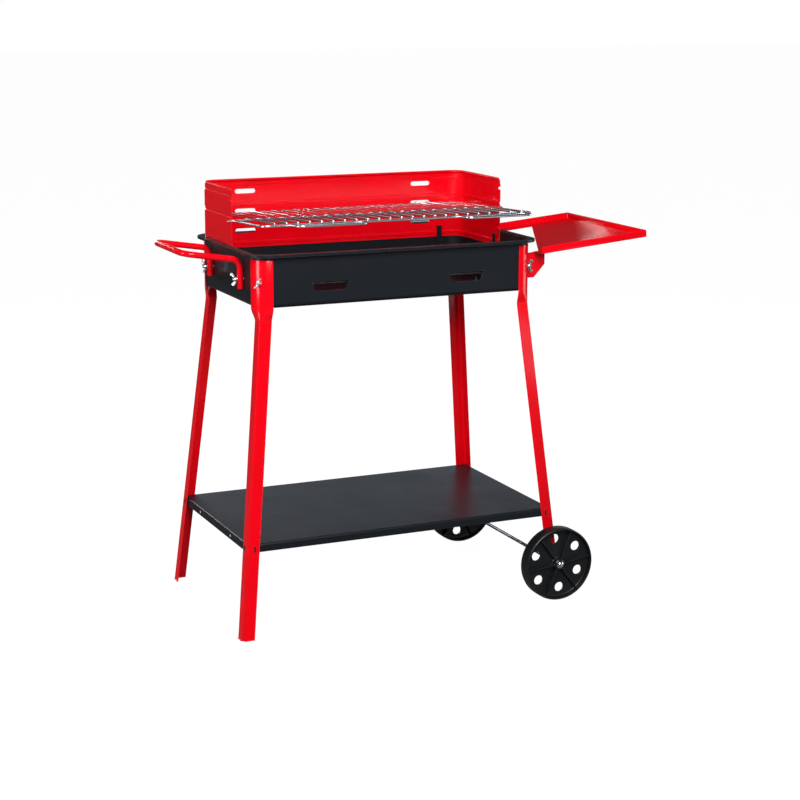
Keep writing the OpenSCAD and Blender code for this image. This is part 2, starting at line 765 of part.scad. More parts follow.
module lower_shelf() {
    flat_l = shelf_l - 2 * shelf_corner_r;
    flat_w = shelf_w - 2 * shelf_corner_r;
    tab_x = ridge_x(tab_z) + tab_proud;
    tab_y = ridge_y(tab_z) + tab_proud;
    color("#2b2f33") in_frame() difference() {
        union() {
            translate([0, 0, shelf_z - shelf_edge_h])
                sweep_ring(shelf_l, shelf_w, shelf_corner_r + 0.5) shelf_profile();
            translate([-flat_l / 2, -flat_w / 2, shelf_z - shelf_t]) cube([flat_l, flat_w, shelf_t]);
            for (sx = [-1, 1], sy = [-1, 1]) {
                x0 = sx > 0 ? shelf_l / 2 - shelf_t : -tab_x;
                y0 = sy > 0 ? shelf_w / 2 - shelf_t : -tab_y;
                translate([x0, sy * (ridge_y(tab_z) - tab_inset) - tab_w / 2, tab_z - tab_h / 2])
                    cube([tab_x - shelf_l / 2 + shelf_t, tab_w, tab_h]);
                translate([sx * (ridge_x(tab_z) - tab_inset) - tab_w / 2, y0, tab_z - tab_h / 2])
                    cube([tab_w, tab_y - shelf_w / 2 + shelf_t, tab_h]);
            }
        }
        for (s = [-1, 1], end = [-1, 1]) {
            translate([end * shelf_l / 2, s * shelf_hole_y, shelf_z - edge_mid_drop])
                wire_x(6 * shelf_t, shelf_hole_d);
        }
    }
}

// Axle and wheels
module axle() {
    color("#6e7276") in_frame() translate([axle_x, 0, axle_z]) wire_y(2 * axle_half, axle_d);
}

module axle_washers() {
    color("#b9bcc0") in_frame() for (s = [-1, 1]) {
        translate([axle_x, s * (washer_y + washer_t / 2), axle_z]) difference() {
            wire_y(washer_t, 2 * washer_r);
            wire_y(washer_t + 2 * cut_past, axle_d + 2 * sheet_gap);
        }
    }
}

module axle_caps() {
    color("#d9dade") in_frame() for (s = [-1, 1]) {
        translate([axle_x, s * cap_y, axle_z]) rotate([s > 0 ? -90 : 90, 0, 0]) difference() {
            rotate_extrude() union() {
                square([cap_r, cap_base_h]);
                intersection() {
                    square([cap_r, cap_h]);
                    translate([0, cap_h - cap_r * 1.15]) circle(r = cap_r * 1.15);
                }
            }
            translate([0, 0, -cut_past])
                cylinder(h = cap_depth + cut_past + sheet_gap, d = axle_d + 2 * run_gap);
        }
    }
}

// Half of a wheel's section: hub, web and rounded rim, with the wheel's axis along Z
module wheel_profile() {
    bore = axle_d / 2 + run_gap;
    translate([bore, -hub_proud]) square([hub_r - bore, hub_w]);
    translate([bore + 1, (wheel_w - web_t) / 2]) square([wheel_r - bore - 1 - rim_band / 2, web_t]);
    translate([wheel_r - rim_band, 0]) square([rim_band - rim_round, wheel_w]);
    translate([wheel_r - rim_round - 1, rim_round]) square([rim_round + 1, wheel_w - 2 * rim_round]);
    for (h = [rim_round, wheel_w - rim_round]) translate([wheel_r - rim_round, h]) circle(r = rim_round);
}

module wheel() {
    difference() {
        union() {
            rotate_extrude($fn = 96) wheel_profile();
            for (i = [0:5]) rotate(60 * i + 30) {
                translate([hub_r - 1, -rib_t / 2, (wheel_w - web_t) / 2 - rib_h])
                    cube([wheel_r - rim_band - hub_r + 2, rib_t, web_t + 2 * rib_h]);
            }
        }
        for (i = [0:5]) rotate(60 * i) translate([web_hole_r, 0, -cut_past])
            cylinder(h = wheel_w + 2 * cut_past, d = web_hole_d);
    }
}

module wheel_front() {
    color("#191a1b") in_frame() translate([axle_x, -wheel_y, axle_z]) rotate([90, 0, 0]) rotate(97) wheel();
}

module wheel_back() {
    color("#191a1b") in_frame() translate([axle_x, wheel_y, axle_z]) rotate([-90, 0, 0]) rotate(97) wheel();
}

// Side handle: one arm's upright foot and the bend above it
module handle_arm() {
    translate([handle_x, handle_y, handle_foot_z]) cylinder(h = handle_up_z - handle_foot_z, d = handle_d);
    translate([handle_x - handle_bend_r, handle_y, handle_up_z]) rotate([90, 0, 0])
        rotate_extrude(angle = handle_bend_angle) translate([handle_bend_r, 0]) circle(d = handle_d + bend_swell);
}

module side_handle() {
    color("#d8101f") in_frame() difference() {
        union() {
            handle_arm();
            mirror([0, 1, 0]) handle_arm();
            translate([handle_x - handle_bend_r, 0, handle_up_z]) rotate([0, -handle_bend_angle, 0])
                translate([handle_bend_r, 0, -bend_lap]) rotate([-90, 0, 90])
                wire_u(2 * handle_y, handle_run + bend_lap, grip_bend_r, handle_d);
        }
        for (s = [-1, 1]) translate([handle_x, s * handle_y, handle_bolt_z])
            wire_x(handle_d + 2 * cut_past, bolt_hole_d);
    }
}

module on_handle_bolts(x) {
    for (s = [-1, 1]) translate([x, s * handle_y, handle_bolt_z]) rotate([0, -90, 0]) children();
}

module handle_bolts() {
    color("#b9bcc0") in_frame() on_handle_bolts(-pan_l / 2 + pan_t) bolt(pan_t + seat_gap + handle_d);
}

module handle_wing_nuts() {
    color("#b9bcc0") in_frame() on_handle_bolts(handle_x - handle_d / 2 - sheet_gap) rotate(25) wing_nut();
}

// Side tray
module in_tray_frame() {
    in_frame() translate([tray_x, 0, tray_z]) rotate([0, -tray_tilt, 0]) children();
}

module tray_outline() {
    polygon([[0, tray_front_y], [tray_l, tray_front_y], [tray_l, tray_back_y], [0, tray_back_y],
        [0, tray_back_y - tray_arm_w], [tray_cut_l, tray_back_y - tray_arm_w],
        [tray_slant_in, tray_front_y + tray_tab_w], [0, tray_front_y + tray_tab_w]]);
}

module side_tray() {
    color("#d8101f") in_tray_frame() difference() {
        union() {
            linear_extrude(tray_t) tray_outline();
            translate([0, tray_front_y - tray_t, 0]) cube([tray_l + tray_t, tray_t, tray_lip_h]);
            translate([0, tray_back_y, 0]) cube([tray_l + tray_t, tray_t, tray_lip_h]);
            translate([tray_l, tray_front_y - tray_t, 0]) cube([tray_t, tray_w + 2 * tray_t, tray_lip_h]);
        }
        on_rivets() {
            cylinder(h = 4 * tray_t, d = rivet_d + 2 * run_gap, center = true);
            cylinder(h = tray_t, r1 = rivet_d / 2 + run_gap, r2 = rivet_head_r + run_gap);
        }
    }
}

// Places of the rivets, in the tray's own frame
module on_rivets() {
    for (s = [-1, 1]) translate([rivet_in / cos(tray_tilt), s * (bracket_y + bracket_shelf_w / 2), 0])
        children();
}

// A bracket, drawn for the back: a foot on the pan's wall, a web, and a shelf under the tray
module bracket() {
    in_frame() {
        difference() {
            translate([pan_l / 2, bracket_y - bracket_foot_w, tray_z - bracket_drop])
                cube([bracket_t, bracket_foot_w, bracket_drop - bracket_foot_drop]);
            translate([pan_l / 2, tray_bolt_y, tray_bolt_z]) wire_x(4 * bracket_t, bolt_hole_d);
        }
        translate([pan_l / 2, bracket_y, tray_z]) rotate([90, 0, 0]) linear_extrude(bracket_t) bracket_web();
    }
    in_tray_frame() difference() {
        translate([bracket_t, bracket_y - bracket_t, -bracket_t])
            cube([bracket_reach - rim_w - tray_gap - bracket_t, bracket_shelf_w + bracket_t, bracket_t]);
        on_rivets() cylinder(h = 4 * tray_t, d = rivet_d + 2 * run_gap, center = true);
    }
}

// Side view of the web, from the pan's wall outwards, its top along the tray's underside
module bracket_web() {
    rise = tan(tray_tilt);
    lap = bracket_t * 0.5;
    inner = -(rim_w + tray_gap) * rise - lap;
    outer = (bracket_reach - rim_w - tray_gap) * rise - lap;
    polygon([[0, inner], [bracket_reach, outer], [bracket_reach, outer - bracket_drop + bracket_chamfer],
        [bracket_reach - bracket_chamfer, -bracket_drop], [0, -bracket_drop]]);
}

module tray_bracket_front() {
    color("#d8101f") mirror([0, 1, 0]) bracket();
}

module tray_bracket_back() {
    color("#d8101f") bracket();
}

// The rivets' upper heads lie flush in the tray's floor
module tray_rivets() {
    color("#b9bcc0") in_tray_frame() on_rivets() {
        translate([0, 0, -bracket_t - rivet_head_h]) cylinder(h = rivet_head_h, r = rivet_head_r);
        translate([0, 0, -bracket_t]) cylinder(h = bracket_t + tray_t, d = rivet_d);
        cylinder(h = tray_t, r1 = rivet_d / 2, r2 = rivet_head_r);
    }
}

module on_tray_bolts(x) {
    for (s = [-1, 1]) translate([x, s * tray_bolt_y, tray_bolt_z]) rotate([0, 90, 0]) children();
}

module tray_bolts() {
    color("#b9bcc0") in_frame() on_tray_bolts(pan_l / 2 - pan_t) bolt(pan_t + bracket_t);
}

module tray_wing_nuts() {
    color("#b9bcc0") in_frame() on_tray_bolts(pan_l / 2 + bracket_t + sheet_gap) rotate(90) wing_nut();
}

firebox_pan();
windshield_clips();
windshield();
grill_frame_wire();
grill_cross_wires();
grill_middle_wire();
grill_side_pegs();
grill_handle_loops();
charcoal_grate_frame();
charcoal_grate_rods();
charcoal_grate_feet();
leg_front_left();
leg_front_right();
leg_back_left();
leg_back_right();
leg_bolts();
leg_wing_nuts();
lower_shelf();
axle();
axle_washers();
axle_caps();
wheel_front();
wheel_back();
side_handle();
handle_bolts();
handle_wing_nuts();
side_tray();
tray_bracket_front();
tray_bracket_back();
tray_rivets();
tray_bolts();
tray_wing_nuts();
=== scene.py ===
"""Looks of a charcoal trolley barbecue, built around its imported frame.

Metres, +Z up, the ground at z = 0. +X is the end with the side tray and the wheels, and -Y the
cook's side. Each sub-assembly is a class that holds its sizes and builds its pieces, and each
finish is a frozen dataclass. Positions come from the frame's boxes.
"""

import json
import logging
import math
from dataclasses import dataclass
from enum import Enum
from functools import cached_property
from typing import Sequence

import bmesh
import bpy
from bmesh.types import BMesh, BMFace, BMVert
from bpy.types import Material, Mesh, NodeSocket, NodeTree, Object
from mathutils import Matrix, Vector


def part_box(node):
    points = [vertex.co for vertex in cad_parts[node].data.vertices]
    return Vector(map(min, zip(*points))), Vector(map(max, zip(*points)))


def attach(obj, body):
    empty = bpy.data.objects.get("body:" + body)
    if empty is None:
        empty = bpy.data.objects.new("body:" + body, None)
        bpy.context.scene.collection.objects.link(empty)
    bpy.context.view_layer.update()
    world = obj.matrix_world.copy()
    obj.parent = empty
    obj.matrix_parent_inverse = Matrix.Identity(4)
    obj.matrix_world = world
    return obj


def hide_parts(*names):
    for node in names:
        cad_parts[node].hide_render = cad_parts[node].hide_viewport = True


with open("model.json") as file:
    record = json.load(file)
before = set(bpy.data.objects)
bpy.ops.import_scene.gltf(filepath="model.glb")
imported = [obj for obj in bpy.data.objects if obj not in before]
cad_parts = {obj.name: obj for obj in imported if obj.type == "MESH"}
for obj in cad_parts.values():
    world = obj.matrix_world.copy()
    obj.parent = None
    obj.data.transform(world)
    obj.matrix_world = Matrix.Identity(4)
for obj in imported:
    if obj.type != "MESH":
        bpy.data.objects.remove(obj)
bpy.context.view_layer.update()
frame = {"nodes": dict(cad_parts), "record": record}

LOG = logging.getLogger("barbecue")
MM = 0.001
QUARTER = math.pi / 2
ORIGIN = (0.0, 0.0, 0.0)
ALONG_X, ALONG_Y, UP = Vector((1, 0, 0)), Vector((0, 1, 0)), Vector((0, 0, 1))
DOUBLE = 1e-6
SMOOTH_UNDER = math.radians(32)
BEVEL_OVER = math.radians(50)


class Slot(Enum):
    """The record's material slots."""

    RED_ENAMEL = "red_enamel"
    BLACK_ENAMEL = "black_enamel"
    CHROME_WIRE = "chrome_wire"
    CHROME_CAP = "chrome_cap"
    GRATE_STEEL = "grate_steel"
    ZINC = "zinc"
    AXLE_STEEL = "axle_steel"
    WHEEL_PLASTIC = "wheel_plastic"


class Body(Enum):
    """The bodies that move apart from each other."""

    STAND = "stand"
    FRONT_WHEEL = "front_wheel"
    BACK_WHEEL = "back_wheel"
    WINDSHIELD = "windshield"
    COOKING_GRILL = "cooking_grill"
    CHARCOAL_GRATE = "charcoal_grate"


# --- finishes


Triple = tuple[float, float, float]
Colour = Triple
WHITE: Colour = (1.0, 1.0, 1.0)
Range = tuple[float, float]
WHOLE: Range = (0.0, 1.0)

MOTTLE_RANGE: Range = (0.3, 0.7)
FINE_RATIO = 9.0
# The edge mask's turn, noise and share: edges lightened partly as wear and partly as a painted
# highlight.
SHARP_TURN: Range = (0.995, 0.86)
WEAR_AND_HIGHLIGHT_NOISE: Range = (0.35, 0.6)
WEAR_AND_HIGHLIGHT_LEFT: Range = (0.15, 1.0)
UPWARD: Range = (0.55, 0.98)
DUST_NOISE: Range = (0.3, 0.75)
DUST_ROUGHNESS = 2.0
# The mix node's colour sockets: the factor, A and B, and the result.
MIX_INPUTS = (0, 6, 7)
MIX_OUTPUT = 2


@dataclass
class Sketch:
    """A node tree being drawn, with short calls to add nodes and join them."""

    tree: NodeTree

    def __post_init__(self) -> None:
        """Starts on an empty tree."""
        self.tree.nodes.clear()

    def add(self, kind: str, inputs: dict | None = None, **settings: object) -> bpy.types.Node:
        """Adds one node.

        Args:
            kind: Blender's name of the node type.
            inputs: values or source sockets for its input sockets, by name or number.
            settings: attributes to set on the node.

        Returns:
            The new node.
        """
        node = self.tree.nodes.new(kind)
        for key, value in settings.items():
            setattr(node, key, value)
        for key, value in (inputs or {}).items():
            if isinstance(value, NodeSocket):
                self.tree.links.new(value, node.inputs[key])
            else:
                node.inputs[key].default_value = value
        return node

    def maths(self, operation: str, first: object, second: object,
              clamp: bool = False) -> NodeSocket:
        """Returns the output of a maths node on two values or sockets."""
        inputs = {0: first, 1: second}
        return self.add("ShaderNodeMath", inputs, operation=operation, use_clamp=clamp).outputs[0]

    def times(self, first: object, second: object) -> NodeSocket:
        """Returns the product of two values or sockets."""
        return self.maths("MULTIPLY", first, second)

    def spread(self, value: object, given: Range, wanted: Range = WHOLE) -> NodeSocket:
        """Returns value mapped, clamped, from one range to another."""
        inputs = {"Value": value, "From Min": given[0], "From Max": given[1],
                  "To Min": wanted[0], "To Max": wanted[1]}
        return self.add("ShaderNodeMapRange", inputs).outputs["Result"]

    def noise(self, place: object, scale: object, detail: float) -> NodeSocket:
        """Returns the grey value of a noise texture."""
        inputs = {"Vector": place, "Scale": scale, "Detail": detail}
        return self.add("ShaderNodeTexNoise", inputs).outputs["Fac"]

    def blend(self, share: object, first: object, second: object) -> NodeSocket:
        """Returns the colour between two colours."""
        inputs = dict(zip(MIX_INPUTS, (share, first, second)))
        return self.add("ShaderNodeMix", inputs, data_type="RGBA").outputs[MIX_OUTPUT]


def socket_name(key: str) -> str:
    """Returns the socket's name for a field's, such as "Wave height" for wave_height."""
    return key.replace("_", " ").capitalize()


def new_group(name: str, output: str, **inputs: float) -> tuple[Sketch, bpy.types.NodeOutputs]:
    """Makes a shader node group that takes a place and some numbers and gives one value.

    Args:
        name: the group's name.
        output: the output's name.
        inputs: the numbers' defaults, by field name.

    Returns:
        A sketch of the group's tree, and the sockets that give its inputs.
    """
    tree = bpy.data.node_groups.new(name, "ShaderNodeTree")
    tree.interface.new_socket(name="Vector", in_out="INPUT", socket_type="NodeSocketVector")
    for key, default in inputs.items():
        socket = tree.interface.new_socket(name=socket_name(key), in_out="INPUT",
                                           socket_type="NodeSocketFloat")
        socket.default_value = default
    tree.interface.new_socket(name=output, in_out="OUTPUT", socket_type="NodeSocketFloat")
    sketch = Sketch(tree)
    return sketch, sketch.add("NodeGroupInput").outputs


def build_mottle_group() -> NodeTree:
    """Returns a group that gives a soft uneven mask from two sizes of noise."""
    sketch, given = new_group("mottle", "Mask", scale=20.0, fine=0.35)
    broad = sketch.noise(given["Vector"], given["Scale"], 3.0)
    fine = sketch.noise(given["Vector"], sketch.times(given["Scale"], FINE_RATIO), 2.0)
    fine = sketch.times(sketch.maths("SUBTRACT", fine, 0.5), given["Fine"])
    mask = sketch.spread(sketch.maths("ADD", broad, fine), MOTTLE_RANGE)
    sketch.add("NodeGroupOutput", {"Mask": mask})
    return sketch.tree


def build_edge_group() -> NodeTree:
    """Returns a group that marks sheet edges and corners, broken up by noise, for lighter edges
    that are partly wear and partly a painted highlight.
    """
    sketch, given = new_group("edge_wear_and_highlight", "Mask", radius=0.001, break_scale=60.0)
    rounded = sketch.add("ShaderNodeBevel", {"Radius": given["Radius"]}, samples=6).outputs[0]
    plain = sketch.add("ShaderNodeNewGeometry").outputs["Normal"]
    turn = sketch.add("ShaderNodeVectorMath", {0: rounded, 1: plain}, operation="DOT_PRODUCT")
    noise = sketch.noise(given["Vector"], given["Break scale"], 4.0)
    mask = sketch.times(sketch.spread(turn.outputs["Value"], SHARP_TURN),
                        sketch.spread(noise, WEAR_AND_HIGHLIGHT_NOISE, WEAR_AND_HIGHLIGHT_LEFT))
    sketch.add("NodeGroupOutput", {"Mask": mask})
    return sketch.tree


def build_dust_group() -> NodeTree:
    """Returns a group that marks where fine dust settles: faces that look up, unevenly."""
    sketch, given = new_group("settled_dust", "Mask", scale=12.0)
    normal = sketch.add("ShaderNodeNewGeometry").outputs["Normal"]
    up = sketch.add("ShaderNodeSeparateXYZ", {0: normal}).outputs["Z"]
    patchy = sketch.spread(sketch.noise(given["Vector"], given["Scale"], 6.0), DUST_NOISE)
    sketch.add("NodeGroupOutput", {"Mask": sketch.times(sketch.spread(up, UPWARD), patchy)})
    return sketch.tree


def build_relief_group() -> NodeTree:
    """Returns a group that gives a surface's relief: slow waves plus a fine grain."""
    sketch, given = new_group("relief", "Height", waves=150.0, wave_height=0.0, grain=1500.0,
                              grain_height=0.0)
    waves = sketch.noise(given["Vector"], given["Waves"], 1.0)
    grain = sketch.noise(given["Vector"], given["Grain"], 2.0)
    height = sketch.maths("ADD", sketch.times(waves, given["Wave height"]),
                          sketch.times(grain, given["Grain height"]))
    sketch.add("NodeGroupOutput", {"Height": height})
    return sketch.tree


class SharedGroups:
    """The node groups that several finishes place, built once."""

    def __init__(self) -> None:
        """Builds the four groups."""
        self.mottle = build_mottle_group()
        self.edge = build_edge_group()
        self.dust = build_dust_group()
        self.relief = build_relief_group()


def opaque(colour: Colour) -> tuple[float, float, float, float]:
    """Returns the colour with a full alpha."""
    return (*colour, 1.0)


@dataclass(frozen=True)
class Finish:
    """One surface finish and the material that it becomes.

    The relief heights are in metres, the scales in cycles per metre.
    """

    slot: Slot
    colour: Colour
    deep_colour: Colour
    # The lighter edge tint: partly wear, partly a painted highlight along edges and folds.
    edge_wear_and_highlight_colour: Colour
    roughness: Range
    metallic: float = 0.0
    ior: float = 1.45
    coat: float = 0.0
    coat_roughness: float = 0.08
    mottle_scale: float = 14.0
    mottle_fine: float = 0.35
    edge_radius: float = 0.0009
    edge_share: float = 0.4
    dust_colour: Colour = (0.35, 0.33, 0.31)
    dust_share: float = 0.0
    waves: float = 130.0
    wave_height: float = 0.0
    grain: float = 1600.0
    grain_height: float = 0.0

    def build(self, groups: SharedGroups) -> Material:
        """Draws the nodes and returns the material, which is named after its slot."""
        material = bpy.data.materials.new(self.slot.value)
        material.use_nodes = True
        sketch = Sketch(material.node_tree)
        place = sketch.add("ShaderNodeTexCoord").outputs["Object"]

        def group(tree: NodeTree, **inputs: object) -> NodeSocket:
            """Places a shared group and returns its output."""
            node = sketch.add("ShaderNodeGroup", node_tree=tree)
            sketch.tree.links.new(place, node.inputs["Vector"])
            for key, value in inputs.items():
                node.inputs[socket_name(key)].default_value = value
            return node.outputs[0]

        uneven = group(groups.mottle, scale=self.mottle_scale, fine=self.mottle_fine)
        colour = sketch.blend(uneven, opaque(self.colour), opaque(self.deep_colour))
        # Lightens edges and corners: partly wear, partly a painted highlight.
        edge = group(groups.edge, radius=self.edge_radius)
        colour = sketch.blend(sketch.times(edge, self.edge_share), colour, opaque(self.edge_wear_and_highlight_colour))
        dust = sketch.times(group(groups.dust), self.dust_share)
        colour = sketch.blend(dust, colour, opaque(self.dust_colour))
        rough = sketch.spread(uneven, WHOLE, self.roughness)
        rough = sketch.maths("ADD", rough, sketch.times(dust, DUST_ROUGHNESS), clamp=True)
        height = group(groups.relief, waves=self.waves, wave_height=self.wave_height,
                       grain=self.grain, grain_height=self.grain_height)
        bump = sketch.add("ShaderNodeBump", {"Height": height, "Distance": 1.0, "Strength": 1.0})
        shader = sketch.add("ShaderNodeBsdfPrincipled", {
            "Base Color": colour, "Roughness": rough, "Metallic": self.metallic, "IOR": self.ior,
            "Coat Weight": self.coat, "Coat Roughness": self.coat_roughness,
            "Normal": bump.outputs[0]})
        sketch.add("ShaderNodeOutputMaterial", {"Surface": shader.outputs[0]})
        return material


# Each finish's third colour is its lighter edge tint: partly wear, partly a painted highlight on
# edges and folds.
FINISHES = (
    Finish(Slot.RED_ENAMEL, (0.80, 0.0012, 0.0085), (0.73, 0.001, 0.006), (0.95, 0.09, 0.10),
           (0.15, 0.20), ior=1.32, coat=0.06, coat_roughness=0.05, dust_share=0.002,
           waves=90.0, wave_height=8e-6, grain_height=6e-7),
    Finish(Slot.BLACK_ENAMEL, (0.0068, 0.0088, 0.0120), (0.0054, 0.0071, 0.0099),
           (0.11, 0.13, 0.15), (0.36, 0.43), ior=1.33, mottle_scale=9.0, edge_share=0.55,
           dust_share=0.002, waves=170.0, wave_height=6e-6, grain_height=1.8e-6),
    Finish(Slot.CHROME_WIRE, (0.93, 0.89, 0.94), (0.86, 0.81, 0.88), (0.96, 0.95, 0.98),
           (0.15, 0.24), metallic=0.95, mottle_scale=10.0, mottle_fine=0.1, edge_radius=0.0002,
           edge_share=0.05, waves=200.0, wave_height=1.5e-6),
    Finish(Slot.CHROME_CAP, (0.88, 0.89, 0.94), (0.78, 0.79, 0.87), (0.98, 0.98, 1.0),
           (0.05, 0.10), metallic=1.0, mottle_scale=120.0, edge_share=0.2),
    Finish(Slot.GRATE_STEEL, (0.17, 0.155, 0.15), (0.075, 0.06, 0.058), (0.34, 0.30, 0.27),
           (0.42, 0.66), metallic=0.85, mottle_scale=45.0, mottle_fine=0.8, dust_share=0.15,
           waves=900.0, wave_height=1e-5, grain_height=4e-6),
    Finish(Slot.ZINC, (0.77, 0.78, 0.81), (0.50, 0.51, 0.56), (0.93, 0.94, 0.96),
           (0.20, 0.38), metallic=1.0, mottle_scale=160.0, edge_radius=0.0005, edge_share=0.5,
           waves=800.0, wave_height=1e-5, grain=3000.0, grain_height=3e-6),
    Finish(Slot.AXLE_STEEL, (0.30, 0.30, 0.36), (0.18, 0.18, 0.22), (0.6, 0.6, 0.64),
           (0.25, 0.42), metallic=1.0, mottle_scale=70.0, waves=900.0, wave_height=6e-6),
    Finish(Slot.WHEEL_PLASTIC, (0.0065, 0.0072, 0.0085), (0.0045, 0.0050, 0.0060),
           (0.055, 0.062, 0.066), (0.30, 0.42), ior=1.46, mottle_scale=30.0, edge_radius=0.0012,
           edge_share=0.6, dust_share=0.004, waves=420.0, wave_height=3e-5, grain=1100.0,
           grain_height=1.6e-5),
)


# --- mesh helpers


def to_mesh(bm: BMesh, name: str) -> Mesh:
    """Returns a new mesh of what is in bm, which is freed."""
    mesh = bpy.data.meshes.new(name)
    bm.to_mesh(mesh)
    bm.free()
    return mesh


def place_object(name: str, data: bpy.types.ID) -> Object:
    """Returns a new object of that data, linked to the scene."""
    made = bpy.data.objects.new(name, data)
    bpy.context.scene.collection.objects.link(made)
    return made


def finished_mesh(made: Object) -> Mesh:
    """Returns the object's mesh with its modifiers applied."""
    graph = bpy.context.evaluated_depsgraph_get()
    return bpy.data.meshes.new_from_object(made.evaluated_get(graph), depsgraph=graph)


def extrude(bm: BMesh, edges: list) -> list:
    """Extrudes the edges in place and returns the new vertices."""
    grown = bmesh.ops.extrude_edge_only(bm, edges=edges)["geom"]
    return [g for g in grown if isinstance(g, BMVert)]


def verts_since(bm: BMesh, before: set) -> list:
    """Returns the vertices that are not among those from before."""
    return [v for v in bm.verts if v not in before]


@dataclass
class Rod:
    """A round rod that grows from ring to ring, by straight runs and bends.

    It is drawn in bm, from the point at. Its section has that many sides.
    """

    bm: BMesh
    at: Vector
    heading: Vector
    radius: float
    sides: int

    def __post_init__(self) -> None:
        """Lays the first ring."""
        self.heading = self.heading.normalized()
        turn = self.heading.to_track_quat("Z", "Y").to_matrix().to_4x4()
        circle = bmesh.ops.create_circle(self.bm, segments=self.sides, radius=self.radius,
                                         matrix=Matrix.Translation(self.at) @ turn)
        self.ring = circle["verts"]

    def _grow(self) -> None:
        """Extrudes the last ring in place, so that the new ring can be moved."""
        ring = set(self.ring)
        edges = {e for v in self.ring for e in v.link_edges
                 if e.verts[0] in ring and e.verts[1] in ring}
        self.ring = extrude(self.bm, list(edges))

    def run(self, length: float) -> "Rod":
        """Goes straight on by length and returns the rod."""
        self._grow()
        bmesh.ops.translate(self.bm, verts=self.ring, vec=self.heading * length)
        self.at = self.at + self.heading * length
        return self

    def bend(self, towards: Vector, angle: float, radius: float, steps: int = 14) -> "Rod":
        """Turns towards a direction square to the heading.

        Args:
            towards: the direction that the rod turns to.
            angle: how far it turns, in radians.
            radius: the bend's radius at the rod's middle.
            steps: how many rings the bend has.

        Returns:
            The rod.
        """
        centre = self.at + towards.normalized() * radius
        axis = self.heading.cross(towards).normalized()
        for _ in range(steps):
            turn = Matrix.Rotation(angle / steps, 3, axis)
            self._grow()
            bmesh.ops.rotate(self.bm, verts=self.ring, cent=centre, matrix=turn)
            self.at = centre + turn @ (self.at - centre)
            self.heading = turn @ self.heading
        return self

    def dome(self, depth: float, steps: int = 3) -> None:
        """Closes the rod with a low dome of that depth."""
        base = self.at.copy()
        for step in range(1, steps + 1):
            angle = QUARTER * step / steps
            wanted = math.cos(angle) * self.radius
            centre = base + self.heading * depth * math.sin(angle)
            self._grow()
            for vert in self.ring:
                spoke = vert.co - self.at
                spoke = spoke - self.heading * spoke.dot(self.heading)
                vert.co = centre + spoke.normalized() * wanted
            self.at = centre
        bmesh.ops.pointmerge(self.bm, verts=self.ring, merge_co=self.at)


def domed_rod(bm: BMesh, start: Vector, end: Vector, radius: float, sides: int,
              depth: float) -> None:
    """Adds a straight rod with a low dome at both ends, which lie at start and end."""
    heading = (end - start).normalized()
    length = (end - start).length
    middle = (start + end) / 2
    for way in (heading, -heading):
        Rod(bm, middle, way, radius, sides).run(length / 2 - depth).dome(depth)


def lathe(bm: BMesh, outline: Sequence[tuple[float, float]], steps: int,
          closed: bool = False) -> list:
    """Spins an outline of (radius, height) points round Z.

    Args:
        bm: the mesh that the shape goes into.
        outline: the points, from one end to the other.
        steps: how many steps a full turn has.
        closed: whether the last point joins the first.

    Returns:
        The new vertices.
    """
    before = set(bm.verts)
    verts = [bm.verts.new((r, 0.0, h)) for r, h in outline]
    pairs = list(zip(verts, verts[1:])) + ([(verts[-1], verts[0])] if closed else [])
    edges = [bm.edges.new(pair) for pair in pairs]
    bmesh.ops.spin(bm, geom=verts + edges, cent=ORIGIN, axis=(0, 0, 1), angle=math.tau,
                   steps=steps, use_merge=True)
    bmesh.ops.remove_doubles(bm, verts=verts_since(bm, before), dist=DOUBLE)
    return verts_since(bm, before)


def bevel(bm: BMesh, edges: list, width: float, segments: int) -> None:
    """Rounds the edges by that width."""
    bmesh.ops.bevel(bm, geom=edges, offset=width, offset_type="OFFSET", segments=segments,
                    profile=0.5, affect="EDGES", material=-1)


def turned(angle: float, axis: str = "Z", size: int = 4) -> Matrix:
    """Returns a rotation matrix of that size."""
    return Matrix.Rotation(angle, size, axis)


def spin(bm: BMesh, verts: list, angle: float) -> None:
    """Turns the vertices round Z."""
    bmesh.ops.rotate(bm, verts=verts, cent=ORIGIN, matrix=turned(angle, size=3))


def bevelled_box(bm: BMesh, size: Vector, place: Matrix, width: float) -> list:
    """Adds a box with rounded edges and returns its vertices."""
    scale = Matrix.Diagonal((*size, 1.0))
    before = set(bm.verts)
    verts = bmesh.ops.create_cube(bm, size=1.0, matrix=scale)["verts"]
    bevel(bm, list({e for v in verts for e in v.link_edges}), width, 2)
    made = verts_since(bm, before)
    bmesh.ops.transform(bm, matrix=place, verts=made)
    return made


